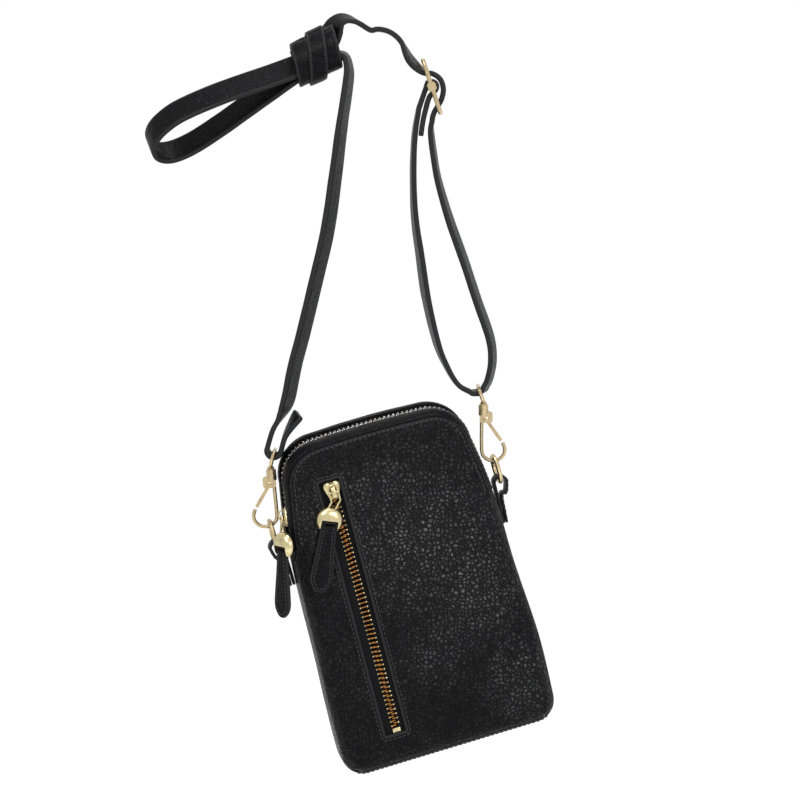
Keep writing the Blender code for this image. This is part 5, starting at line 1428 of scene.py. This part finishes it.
def mount_matrix(point, travel, normal):
    """A frame whose x is the slider's travel and whose z points away from the bag."""
    across = normal.cross(travel).normalized()
    rows = [(travel[i], across[i], normal[i], point[i]) for i in range(3)]
    return Matrix((*rows, (0.0, 0.0, 0.0, 1.0)))


def slider_piece(name, seat, body, stands_for):
    """One cast slider in its place."""
    mesh = joined(name, slider_parts())
    mesh.transform(seat)
    return piece(name, mesh, pull_brass, body, stands_for, sharp=50.0)


pocket_seat = BAG @ mount_matrix(
    Vector((POCKET_MIDDLE, POCKET_CHAIN, SLIDER_HEIGHT)), Vector((0.0, 0.0, -1.0)), Vector((0.0, -1.0, 0.0))
)
slider_piece("pocket_slider_cast", pocket_seat, "pocket_slider", ["pocket_slider"])
chain_start, _ = chain_point(SLIDER_REST)
chain_next, _ = chain_point(SLIDER_REST + 0.0120)
travel = (chain_next - chain_start).normalized()
outside = Vector((-1.0, 0.0, 0.0))
main_normal = (outside - travel * outside.dot(travel)).normalized()
main_seat = BAG @ mount_matrix(chain_start, travel, main_normal)
slider_piece("main_slider_cast", main_seat, "main_slider", ["main_slider"])
print("sliders done")

# %% [markdown]
# ## Pullers
# Each puller is a wire bail through the crown, a domed bell of brushed brass with an open notch, and a leather
# tab that comes out of the notch. The bell is a dome whose notch is cut by a Boolean, so the dome stays smooth.
# The tab is one outline carried through a list of insets and heights, which gives its edge, its pressed line and
# its soft face at once. One tab has a round end and the other a cut one, and both have a row of stitches.

# %% Bell, bail and tab
CAP_WIDTH, CAP_LENGTH, CAP_THICKNESS = 0.0148, 0.0130, 0.0044
CAP_LOW = -0.2 * CAP_THICKNESS
TAB_START = CAP_LENGTH - 0.0050
TAB_LENGTH, TAB_WIDTH, TAB_THICKNESS = 0.0400, 0.0128, 0.0022
TAB_LOW = CAP_LOW + CAP_THICKNESS / 8
BAIL_WIRE, BAIL_HALF, BAIL_DROP = 0.0006, 0.0025, 0.0050
BELL_SHARES = [
    (0.0, 0.0), (0.0, 0.16), (0.02, 0.34), (0.10, 0.62), (0.32, 0.93), (0.54, 1.0), (0.74, 0.965), (0.90, 0.84),
    (0.985, 0.735), (1.0, 0.66), (1.0, 0.0),
]
PADDLE_SHARES = {
    "main_puller": [
        (0.0, 0.0), (0.0, 0.64), (0.14, 0.67), (0.40, 0.80), (0.70, 0.98), (0.80, 1.0), (0.88, 0.90), (0.95, 0.62),
        (0.99, 0.30), (1.0, 0.0),
    ],
    "pocket_puller": [
        (0.0, 0.0), (0.0, 0.70), (0.14, 0.72), (0.40, 0.80), (0.70, 0.96), (0.78, 1.0), (0.84, 0.94), (0.94, 0.64),
        (0.985, 0.44), (1.0, 0.20), (1.0, 0.0),
    ],
}


def mirrored(shares, length, half, steps):
    """A smooth closed outline from shares of one half."""
    route = smooth_path([Vector((x * length, y * half, 0.0)) for x, y in shares], steps)
    half_points = [(p.x, max(p.y, 0.0)) for p in route]
    return half_points + [(x, -y) for x, y in half_points[-2:0:-1]]


def cut_by(name, mesh, tool_mesh):
    """A mesh with another one cut out of it."""
    made = bpy.data.objects.new(name, mesh)
    tool = bpy.data.objects.new(name + "_tool", tool_mesh)
    bpy.context.scene.collection.objects.link(made)
    bpy.context.scene.collection.objects.link(tool)
    step = made.modifiers.new("cut", "BOOLEAN")
    step.operation = "DIFFERENCE"
    step.solver = "EXACT"
    step.object = tool
    apply_modifiers(made)
    result_mesh = made.data
    bpy.data.objects.remove(made)
    bpy.data.objects.remove(tool)
    return result_mesh


def marked_mesh(name, verts, faces, marks, matrix=None):
    """A mesh whose points keep an edge value each."""
    bm = bmesh.new()
    layer = bm.verts.layers.float.new("edge")
    made = []
    for point, mark in zip(verts, marks):
        vert = bm.verts.new(matrix @ point if matrix else point)
        vert[layer] = mark
        made.append(vert)
    for face in faces:
        bm.faces.new([made[i] for i in face])
    bmesh.ops.recalc_face_normals(bm, faces=bm.faces[:])
    mesh = bpy.data.meshes.new(name)
    bm.to_mesh(mesh)
    bm.free()
    return mesh


def bell_mesh(name):
    """The domed cap with its notch."""
    outline = mirrored(BELL_SHARES, CAP_LENGTH, CAP_WIDTH / 2, 3)
    middle = CAP_LENGTH * 0.50
    rows = []
    levels = [(0.955, 0.0), (0.99, 0.04), (1.0, 0.10)]
    levels += [(math.cos(math.radians(t)) ** 0.62, 0.10 + 0.90 * math.sin(math.radians(t))) for t in range(9, 89, 8)]
    for size, height in levels:
        z = CAP_LOW + CAP_THICKNESS * height
        rows.append([Vector((middle + (x - middle) * size, y * size, z)) for x, y in outline])
    bell = new_mesh(name, *bridge(rows, wrap=True, caps=True))
    notch = rounded_outline(0.0110, 0.0094, 0.0009)
    notch = [(x + TAB_START - 0.0007 + 0.0055, y) for x, y in notch]
    tool = bridge([[Vector((x, y, z)) for x, y in notch] for z in (TAB_LOW - 0.0002, 0.01)], wrap=True, caps=True)
    return cut_by(name, bell, new_mesh(name + "_notch", *tool))


def tab_outline(name):
    """The outline of one puller's leather."""
    return [(TAB_START + x, y) for x, y in mirrored(PADDLE_SHARES[name], TAB_LENGTH, TAB_WIDTH / 2, 4)]


def tab_mesh(name, outline):
    """The leather tab with a painted edge, lighter partly as a painted rim highlight, and a pressed line inside it.
    """
    t = TAB_THICKNESS
    levels = [
        (0.0022, 0.0, 0), (0.0009, 0.0, 0), (0.0004, 0.0001, 1), (0.0001, 0.35 * t, 1), (0.0, 0.5 * t, 1),
        (0.0001, 0.68 * t, 1), (0.0003, 0.86 * t, 1), (0.00062, 0.96 * t, 1), (0.00105, 0.97 * t, 0.6),
        (0.00125, 0.84 * t, 0.0), (0.00150, 0.97 * t, 0.4), (0.0020, 1.02 * t, 0), (0.0024, 1.04 * t, 0),
    ]
    rows, marks = [], []
    for inset, height, mark in levels:
        rows.append([Vector((x, y, TAB_LOW + height)) for x, y in inset_outline(outline, inset)])
        marks += [float(mark)] * len(outline)
    verts, faces = bridge(rows, wrap=True, caps=True)
    return marked_mesh(name, verts, faces, marks)


def bail_mesh(name, bar, drop, grips):
    """The wire loop between the crown and the bell."""
    near, far = grips
    corners = [bar * 0.5, bar * 0.92, bar + drop * 0.12, bar + drop, near, far, drop - bar, drop * 0.12 - bar,
               bar * -0.92, bar * -0.5]
    fine = []
    for i in range(len(corners)):
        a, b = corners[i], corners[(i + 1) % len(corners)]
        fine += [a.lerp(b, k / 3) for k in range(3)]
    return new_mesh(name, *tube(fine, BAIL_WIRE, 10, bar.cross(drop).normalized(), closed=True))


def puller(name, bar, drop, reach, down, normal, hinge, body, cap_node, tab_node):
    """Bail, bell and tab, drawn round the hinge in the bag's frame."""
    side = normal.cross(down).normalized()
    rows = [(down[i], side[i], normal[i], reach[i]) for i in range(3)]
    local = Matrix((*rows, (0.0, 0.0, 0.0, 1.0)))
    place = BAG @ Matrix.Translation(hinge)
    spread = CAP_WIDTH * 0.14
    grip = side * spread + down * (2.2 * BAIL_WIRE) + normal * (CAP_LOW / 2 + CAP_THICKNESS / 4)
    far_grip = grip - side * (2 * spread)
    if side.dot(bar) < 0:
        grip, far_grip = far_grip, grip
    bail = bail_mesh(name + "_bail", bar, drop, (reach + grip, reach + far_grip))
    bail.transform(place)
    piece(name + "_bail", bail, pull_brass, body)
    bell = bell_mesh(name + "_bell")
    bell.transform(place @ local)
    piece(name + "_bell", bell, pull_brass, body, [cap_node], sharp=35.0)
    outline = tab_outline(name)
    tab = tab_mesh(name + "_leather", outline)
    tab.transform(place @ local)
    piece(name + "_leather", tab, tab_leather, body, [tab_node])
    flat = place @ local
    height = TAB_LOW + 1.04 * TAB_THICKNESS
    seam = [(flat @ Vector((x, y, height)), flat.to_3x3() @ Vector((0.0, 0.0, 1.0)))
            for x, y in inset_outline(outline, 0.0021) if x > TAB_START + 0.0035]
    sew(name + "_stitches", [seam], body, spacing=0.0021, length=0.0014, thickness=0.00042)


CROWN_EYE = PLATE_IN + PLATE + 0.00135
pocket_normal = Vector((0.0, -1.0, 0.0))
pocket_hinge = Vector((POCKET_MIDDLE, POCKET_CHAIN, SLIDER_HEIGHT)) + pocket_normal * CROWN_EYE
turn = math.radians(23.0)
pocket_down = Vector((-math.sin(turn), 0.0, -math.cos(turn)))
cap_seat = HALF_DEPTH + PANEL_CROWN + LEATHER + GAP - CAP_LOW
pocket_lift = pocket_normal * (cap_seat - (CROWN_EYE - POCKET_CHAIN))
puller(
    "pocket_puller", Vector((BAIL_HALF, 0.0, 0.0)), Vector((0.0, 0.0, -BAIL_DROP)),
    pocket_down * 0.0083 + pocket_lift, pocket_down, pocket_normal, pocket_hinge, "pocket_pull",
    "pocket_pull_cap", "pocket_pull_tab",
)
main_hinge = chain_start + main_normal * CROWN_EYE
tilt, pull_turn = math.radians(14.9), math.radians(32.0)
main_down = Vector((-math.sin(tilt), 0.0, -math.cos(tilt)))
face = Vector((-math.cos(tilt), 0.0, math.sin(tilt)))
plane = (face * math.cos(pull_turn) + Vector((0.0, -1.0, 0.0)) * math.sin(pull_turn)).normalized()
main_bar = main_normal.cross(travel).normalized() * -BAIL_HALF
puller(
    "main_puller", main_bar, travel * -BAIL_DROP + main_normal * BAIL_WIRE, Vector((-0.0020, -0.0108, -0.0069)),
    main_down, plane, main_hinge, "main_pull", "main_pull_cap", "main_pull_tab",
)
print("pullers done")

# %% [markdown]
# ## Straps
# A strap is a flat profile carried along a route, its width turned a little where the leather twists.
# The profile has rounded painted edges and a pressed line beside each of them. The edge attribute marks the
# painted points, so one material paints them. Routes are listed, the same ones as the solids follow.

# %% Strap profile and sweep
STRAP_WIDTH, STRAP_THICKNESS = 0.0160, 0.0028


# Edge values give the lighter edge tone: edge paint and partly a painted rim highlight.
def strap_section(width, thickness):
    """Points across a strap with their edge value: (along the width, along the thickness, edge)."""
    half, high = width / 2, thickness / 2
    face_points = [
        (half - 0.0021, 1.0, 0.0), (half - 0.00150, 0.98, 0.1), (half - 0.00125, 0.84, 0.5),
        (half - 0.00100, 0.97, 0.8), (half - 0.00055, 0.93, 1.0), (half - 0.00018, 0.66, 1.0), (half, 0.28, 1.0),
    ]
    inner = [(x, 1.03, 0.0) for x in (0.0, half * 0.4)]
    quarter = inner[1:] + face_points
    top = [(-x, y, e) for x, y, e in quarter[::-1]] + [inner[0]] + quarter
    bottom = [(x, -y, e) for x, y, e in top[::-1]]
    return [(x, y * high, e) for x, y, e in top + bottom]


def sweep(name, points, widths, width=STRAP_WIDTH, thickness=STRAP_THICKNESS, seed=0.0, uneven=0.00009):
    """A strap through points whose width lies along widths; the leather is a little uneven."""
    section = strap_section(width, thickness)
    rows, marks = [], []
    travelled = 0.0
    last = len(points) - 1
    for i, (point, along) in enumerate(zip(points, tangents(points))):
        travelled += (point - points[i - 1]).length if i else 0.0
        across = (widths[i] - along * along.dot(widths[i])).normalized()
        up = across.cross(along).normalized()
        tuck = 0.9 if i in (0, last) else 1.0
        row = []
        for x, y, edge in section:
            wave = noise.noise(Vector((travelled * 90, x * 160, seed + (y > 0)))) * uneven
            row.append(point + across * (x * tuck) + up * (y * tuck + wave * (1 if y > 0 else -1)))
            marks.append(max(edge, 1.0 if i in (0, last) else 0.0))
        rows.append(row)
    verts, faces = bridge(rows, wrap=True, caps=True)
    return marked_mesh(name, verts, faces, marks)


def strap_piece(name, mesh, stands_for, finish=strap_leather, body="strap"):
    """A strap on its body."""
    made = piece(name, mesh, finish, body, stands_for, sharp=60.0)
    print(name, "faces", len(mesh.polygons))
    return made


def turned_widths(points, twists):
    """Width directions that start along y and turn about the route by (share, degrees)."""
    widths = []
    last = len(points) - 1
    for i, along in enumerate(tangents(points)):
        share = i / last
        k = next((n for n in range(len(twists) - 1) if twists[n + 1][0] >= share), len(twists) - 2)
        (low, from_turn), (high, to_turn) = twists[k], twists[k + 1]
        angle = math.radians(from_turn + (to_turn - from_turn) * smoothstep(low, high, share))
        depth = Vector((0.0, 1.0, 0.0))
        level = (depth - along * along.dot(depth)).normalized()
        widths.append(level * math.cos(angle) + along.cross(level) * math.sin(angle))
    return widths


def along_chord(start, end, depths, shares):
    """Route points from shares along and across the line between two points."""
    chord = Vector((end[0] - start[0], 0.0, end[1] - start[1]))
    across = Vector((-chord.z, 0.0, chord.x))
    points = []
    for along, aside in shares:
        point = Vector((start[0], 0.0, start[1])) + chord * along + across * aside
        point.y = depths[0] + (depths[1] - depths[0]) * along
        points.append(point)
    return points


def flat_route(points):
    """Points at mid depth."""
    return [Vector((x, 0.0, z)) for x, z in points]


# %% Hook eyes, read from the solids
EYE_WIRE, BAR_REACH = 0.0011, 0.0022


def top_bar(node):
    """The middle of a hook eye's top bar."""
    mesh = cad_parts[node].data
    high = max(vert.co.z for vert in mesh.vertices)
    near = [vert.co for vert in mesh.vertices if vert.co.z > high - BAR_REACH]
    middle = sum((co.copy() for co in near), Vector()) / len(near)
    return Vector((middle.x, middle.y, high - EYE_WIRE))


left_eye, right_eye = top_bar("left_hook_eye"), top_bar("right_hook_eye")
print("eyes", [round(x, 4) for x in (*left_eye, *right_eye)])

# %% Left run: from the knot to the left hook and up to the free end
LEFT_TOP = [(-0.0253, -0.0144), (-0.0231, -0.0131), (-0.0202, -0.0120), (-0.0172, -0.0140), (-0.0158, -0.0200)]
LEFT_RUN_SHARES = [
    (0.026, 0.005), (0.093, 0.010), (0.155, 0.014), (0.282, 0.025), (0.416, 0.034), (0.553, 0.032), (0.682, 0.029),
    (0.773, 0.025), (0.863, 0.026), (0.909, 0.017), (0.950, 0.004),
]
LEFT_TAIL = [(-0.0510, -0.2215), (-0.0470, -0.2145), (-0.0437, -0.2096)]
INSIDE_KNOT = Vector((-0.0300, 0.0, -0.0165))
STRAP_LOOP = 0.0040
loop_middle = left_eye + Vector((0.0, 0.0, STRAP_LOOP - STRAP_THICKNESS / 2 - EYE_WIRE - GAP))
left_edge = loop_middle - Vector((STRAP_LOOP, 0.0, 0.0))
top = flat_route(LEFT_TOP)
run = along_chord((top[-1].x, top[-1].z), (left_edge.x, left_edge.z), (0.0, left_eye.y), LEFT_RUN_SHARES)
points = smooth_path([INSIDE_KNOT] + top + run + [left_edge], 10)
for i in range(1, 17):
    angle = math.pi + math.pi * i / 16
    points.append(loop_middle + STRAP_LOOP * Vector((math.cos(angle), 0.0, math.sin(angle))))
tail = [points[-1]] + [Vector((x, left_eye.y, z)) for x, z in LEFT_TAIL]
points += smooth_path(tail, 6)[1:]
twists = [
    (0.0, 0.0), (0.14, 6.0), (0.34, 14.0), (0.5, 21.0), (0.68, 21.0), (0.78, 0.0), (0.92, 0.0), (1.0, 16.0),
]
left_points, left_widths = points, turned_widths(points, twists)
strap_piece("left_run", sweep("left_run", left_points, left_widths, seed=1.0), ["strap_left_run"])

# %% Run over the hanging point and through the adjuster
SUPPORT_RADIUS = 0.0142
SUPPORT_START = [
    (-0.0295, -0.0053), (-0.0272, -0.0037), (-0.0252, -0.0004), (-0.0232, 0.0036), (-0.0202, 0.0064),
    (-0.0165, 0.0070), (-0.0125, 0.0058), (-0.0090, 0.0040),
]
SUPPORT_END = [
    (0.0174, -0.0143), (0.0213, -0.0188), (0.0256, -0.0221), (0.0303, -0.0228), (0.0344, -0.0258),
    (0.0361, -0.0309), (0.0353, -0.0361), (0.0331, -0.0404), (0.0312, -0.0437), (0.0300, -0.0472),
]
arch_radius = SUPPORT_RADIUS + STRAP_THICKNESS / 2
arch = []
for degrees in (104, 92, 80, 68, 56, 44, 32, 20):
    angle = math.radians(degrees)
    arch.append(Vector((arch_radius * math.cos(angle), 0.0, arch_radius * math.sin(angle) - SUPPORT_RADIUS)))
points = smooth_path(flat_route(SUPPORT_START) + arch + flat_route(SUPPORT_END), 6)
twists = [(0.0, 60.0), (0.28, 0.0), (0.56, 0.0), (0.66, 12.0), (0.76, 0.0), (1.0, 0.0)]
top_points, top_widths = points, turned_widths(points, twists)

# %% Return run: from the adjuster round the right hook and back to the centre bar
RIGHT_STRAND_SHARES = [
    (0.006, -0.001), (0.051, -0.014), (0.206, -0.022), (0.361, -0.010), (0.522, 0.013), (0.682, 0.033),
    (0.823, 0.052), (0.906, 0.045), (0.970, 0.021),
]
LEFT_STRAND_SHARES = [
    (0.027, 0.033), (0.089, 0.061), (0.173, 0.082), (0.322, 0.095), (0.461, 0.095), (0.601, 0.093),
    (0.735, 0.078), (0.858, 0.055), (0.946, 0.028),
]
STRAND_TAIL = [(0.0284, -0.0356), (0.0262, -0.0430), (0.0247, -0.0500), (0.0238, -0.0567)]
ADJUSTER_BAR = 0.0011
bar = Vector((0.0297, 0.0, -0.0298))
reach = STRAP_THICKNESS / 2 + EYE_WIRE + GAP
turn_shares = [(0, 1.4), (-35, 1.2), (-75, 1.08), (-110, 1.2), (-138, 1.7), (-154, 2.0)]
wrap_shares = [(185, 1.08), (150, 1.0), (115, 1.0), (80, 1.0), (45, 1.0), (10, 1.0), (-25, 1.0), (-60, 1.1)]


def round_a_bar(middle, radius, shares):
    """Points round a bar from (degrees, size) shares."""
    made = []
    for degrees, size in shares:
        angle = math.radians(degrees)
        made.append(middle + radius * size * Vector((math.cos(angle), 0.0, math.sin(angle))))
    return made


right_edge = right_eye + Vector((reach * turn_shares[0][1], 0.0, 0.0))
down = along_chord(SUPPORT_END[-1], (right_edge.x, right_edge.z), (0.0, right_eye.y), RIGHT_STRAND_SHARES)
turn_points = round_a_bar(right_eye, reach, turn_shares)
wrap_radius = STRAP_THICKNESS / 2 + ADJUSTER_BAR + GAP
left_end = bar - wrap_radius * Vector((1.35, 0.0, 0.8))
up = along_chord(
    (turn_points[-1].x, turn_points[-1].z), (left_end.x, left_end.z), (right_eye.y, 0.0), LEFT_STRAND_SHARES
)
points = smooth_path(down + turn_points + up, 8)
wrap = round_a_bar(bar, wrap_radius, wrap_shares)
points += smooth_path([points[-1]] + wrap + flat_route(STRAND_TAIL), 5)[1:]
twists = [
    (0.0, 0.0), (0.05, 6.0), (0.12, 11.0), (0.30, 12.0), (0.38, 0.0), (0.5, 4.0), (0.60, 11.0), (0.70, 4.0),
    (0.78, 0.0), (1.0, 0.0),
]
return_points, return_widths = points, turned_widths(points, twists)
whole = top_points[:-1] + return_points
whole_widths = top_widths[:-1] + return_widths
strap_piece("top_run", sweep("top_run", whole, whole_widths, seed=3.0), ["strap_peg_run", "strap_return_run"])

# %% Bight: the doubled spare length
BIGHT = [
    (-0.0130, 0.00175), (0.0, 0.0020), (0.020, 0.0055), (0.036, 0.0085), (0.052, 0.0115), (0.068, 0.0135),
    (0.080, 0.0125), (0.088, 0.0080), (0.092, 0.0), (0.091, -0.0090), (0.085, -0.0165), (0.074, -0.0205),
    (0.062, -0.0200), (0.046, -0.0165), (0.030, -0.0115), (0.014, -0.0060), (0.0, -0.0020), (-0.0130, -0.00175),
]
BIGHT_ALONG = Vector((-0.906, 0.0, -0.424)).normalized()
BIGHT_WIDTH = Vector((0.313, -0.676, -0.667)).normalized()
BIGHT_UP = BIGHT_WIDTH.cross(BIGHT_ALONG).normalized()
bight_start = Vector((-0.0437, 0.0, -0.0195))
SHORTEN, SETTLE = 0.955, 0.78
SAG = 0.082


def settled(a, b):
    """The soft loop closes and sinks a little towards its far end."""
    place = bight_start + BIGHT_ALONG * (a * SHORTEN) + BIGHT_UP * (b * SETTLE)
    return place - Vector((0.0, 0.0, SAG * max(a, 0.0)))


points = smooth_path([settled(a, b) for a, b in BIGHT], 8)
strap_piece("bight", sweep("bight", points, [BIGHT_WIDTH] * len(points), seed=4.0), ["strap_bight"])

# %% [markdown]
# ## The knot
# The knot is the same strap wound round itself. Three slanted wraps lie side by side over a core, and the middle one
# rides over the others. Each wrap is a strap swept round an oval, so its painted edges show as the pale lines
# between the wraps; their paleness is edge paint and partly a painted rim highlight.

# %% Knot core and wraps
KNOT_LENGTH, KNOT_START, KNOT_RISE = 0.0260, -0.0010, 0.0016
knot_out = -BIGHT_ALONG
knot_up = Vector((-BIGHT_ALONG.z, 0.0, BIGHT_ALONG.x)) * -1
knot_middle = bight_start + knot_up * KNOT_RISE


def oval(along, wide, high, turn):
    """A point of the knot's oval at a distance along it."""
    ring = BIGHT_WIDTH * (wide * math.cos(turn)) + BIGHT_UP * (high * math.sin(turn))
    return knot_middle + knot_out * along + ring


core_rows = []
for i in range(17):
    share = i / 16
    size = math.sqrt(max(1 - abs(2 * share - 1) ** 4, 0.0)) * 0.18 + 0.82
    along = KNOT_START + 0.0006 + (KNOT_LENGTH - 0.0012) * share
    ring = []
    for k in range(36):
        turn = 2 * math.pi * k / 36
        dent = 1 + 0.03 * noise.noise(Vector((math.cos(turn) * 2, math.sin(turn) * 2, share * 3)))
        ring.append(oval(along, 0.0100 * size * dent, 0.0098 * size * dent, turn))
    core_rows.append(ring)
core_verts, core_faces = bridge(core_rows, wrap=True, caps=True)
core = marked_mesh("knot_core", core_verts, core_faces, [0.0] * len(core_verts))
strap_piece("knot_core", core, ["strap_knot"])


def wrap_mesh(name, middle, slant, start, sweep_turn, width, wide, high, seed):
    """A slanted wrap: middle is its place along the knot and slant how far it shifts in a turn."""
    points, widths = [], []
    steps = 64
    for i in range(steps + 1):
        share = i / steps
        turn = start + sweep_turn * share
        along = middle + slant * math.cos(turn - math.radians(60.0))
        grow = 1.0 + 0.03 * share
        points.append(oval(along, wide * grow, high * grow, turn))
        lean = slant * -math.sin(turn - math.radians(60.0)) / wide
        around = (-BIGHT_WIDTH * math.sin(turn) + BIGHT_UP * math.cos(turn)).normalized()
        widths.append((knot_out - around * lean).normalized())
    return sweep(name, points, widths, width=width, thickness=0.0018, seed=seed, uneven=0.00025)


full = math.radians(385.0)
WRAPS = {
    "knot_wrap_low": (0.0040, -0.0024, -150, 0.0104, 0.0112, 0.0108, 6.0),
    "knot_wrap_middle": (0.0118, -0.0050, -140, 0.0100, 0.0132, 0.0126, 7.0),
    "knot_wrap_high": (0.0196, -0.0024, -120, 0.0104, 0.0110, 0.0106, 8.0),
}
for name, (middle, slant, start, width, wide, high, seed) in WRAPS.items():
    strap_piece(name, wrap_mesh(name, middle, slant, math.radians(start), full, width, wide, high, seed), ())
print("knot done")

# %% [markdown]
# ## Ring tabs
# A short strip holds each ring: it comes up the side, turns over the ring's wire and goes down again, where two
# rows of stitches hold it.

# %% Ring tabs
SWING_HEIGHT = ZIP_END + 0.0114
RING_OUT, RING_RADIUS, RING_WIRE, RING_BACK = 0.0654, 0.0076, 0.0013, 0.0030
RING_BOTTOM = SWING_HEIGHT + 0.0011 + RING_WIRE + GAP - 2 * RING_RADIUS
TAB_STRIP, TAB_STRIP_WIDTH, TAB_DROP = 0.0016, 0.0080, 0.0230


def side_surface(v):
    """How far the side's middle stands out."""
    return half_width(v) + swell(Vector((half_width(v), 0.0, v)), Vector((1.0, 0.0, 0.0)), 0.0)


def ring_tab(name, side, stands_for):
    """A strip from the side, round the ring's wire and back to its tail."""
    half = TAB_STRIP_WIDTH / 2
    sag = RING_RADIUS - math.sqrt(RING_RADIUS ** 2 - half ** 2)
    radius = RING_WIRE + sag + GAP + TAB_STRIP / 2
    start_v = RING_BOTTOM - TAB_DROP
    layer_in = side_surface(start_v) + GAP + TAB_STRIP / 2
    path = [Vector((layer_in, 0.0, start_v)), Vector((layer_in, 0.0, start_v + TAB_DROP / 3))]
    near_side = side_surface(RING_BOTTOM) + GAP + TAB_STRIP / 2
    path.append(Vector((max(near_side, RING_OUT - radius), 0.0, RING_BOTTOM - radius)))
    for i in range(7):
        angle = math.pi - math.pi * i / 6
        turned = Vector((math.cos(angle), 0.0, math.sin(angle)))
        path.append(Vector((RING_OUT, 0.0, RING_BOTTOM)) + radius * turned)
    tail = path[1] + Vector((1.2 * TAB_STRIP, 0.0, 0.0))
    path.append(Vector((RING_OUT + radius * 0.5, 0.0, RING_BOTTOM - radius * 1.7)))
    path.append(tail + Vector((0.5 * TAB_STRIP, 0.0, TAB_DROP / 3)))
    path.append(tail - Vector((0.0, 0.0, TAB_DROP / 3)))
    path = [Vector((side * point.x, RING_BACK, point.z)) for point in path]
    fine = smooth_path(path, 5)
    mesh = sweep(
        name, fine, [Vector((0.0, 1.0, 0.0))] * len(fine), width=TAB_STRIP_WIDTH, thickness=TAB_STRIP,
        uneven=0.00004,
    )
    mesh.transform(BAG)
    strap_piece(name, mesh, stands_for, side_leather, "bag")
    outer = fine[-16:-2]
    seams = []
    for shift in (-0.0028, 0.0028):
        line = []
        for point, along in zip(outer, tangents(outer)):
            out = Vector((side * abs(along.z), 0.0, -side * along.x * math.copysign(1.0, along.z)))
            out.normalize()
            place = point + Vector((0.0, shift, 0.0)) + out * (TAB_STRIP / 2 + 0.00008)
            line.append((BAG @ place, BAG.to_3x3() @ out))
        seams.append(line)
    sew(name + "_stitches", seams, "bag", spacing=0.0024, length=0.0017, thickness=0.00042)


ring_tab("left_tab", -1, ["left_ring_tab"])
ring_tab("right_tab", 1, ["right_ring_tab"])
for shape in (stitch, clamp_shape, head_shape):
    bpy.data.objects.remove(shape)
print("shapes for the trees removed")

# %% [markdown]
# ## Metal parts and inner pieces that are carried over
# Rings, hooks, gates, pins and the adjuster are already exact, so they stay and get the worn metal by their own
# slots. Lining, pouch and base board are inside. They stay too, with cloth and board finishes.

# %% Finishes for the carried-over solids
CARRIED = [
    (hook_brass, [
        "left_hook_eye", "left_hook_body", "left_hook_gate", "left_hook_gate_pin", "right_hook_eye",
        "right_hook_body", "right_hook_gate", "right_hook_gate_pin", "left_ring", "right_ring", "adjuster_frame",
        "adjuster_bar",
    ]),
    (lining_cloth, ["lining", "pocket_pouch_front", "pocket_pouch_back"]),
    (board_finish, ["base_board"]),
]
for finish, names in CARRIED:
    for name in names:
        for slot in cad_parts[name].material_slots:
            slot.material = finish
print("carried over", sum(len(names) for _, names in CARRIED))
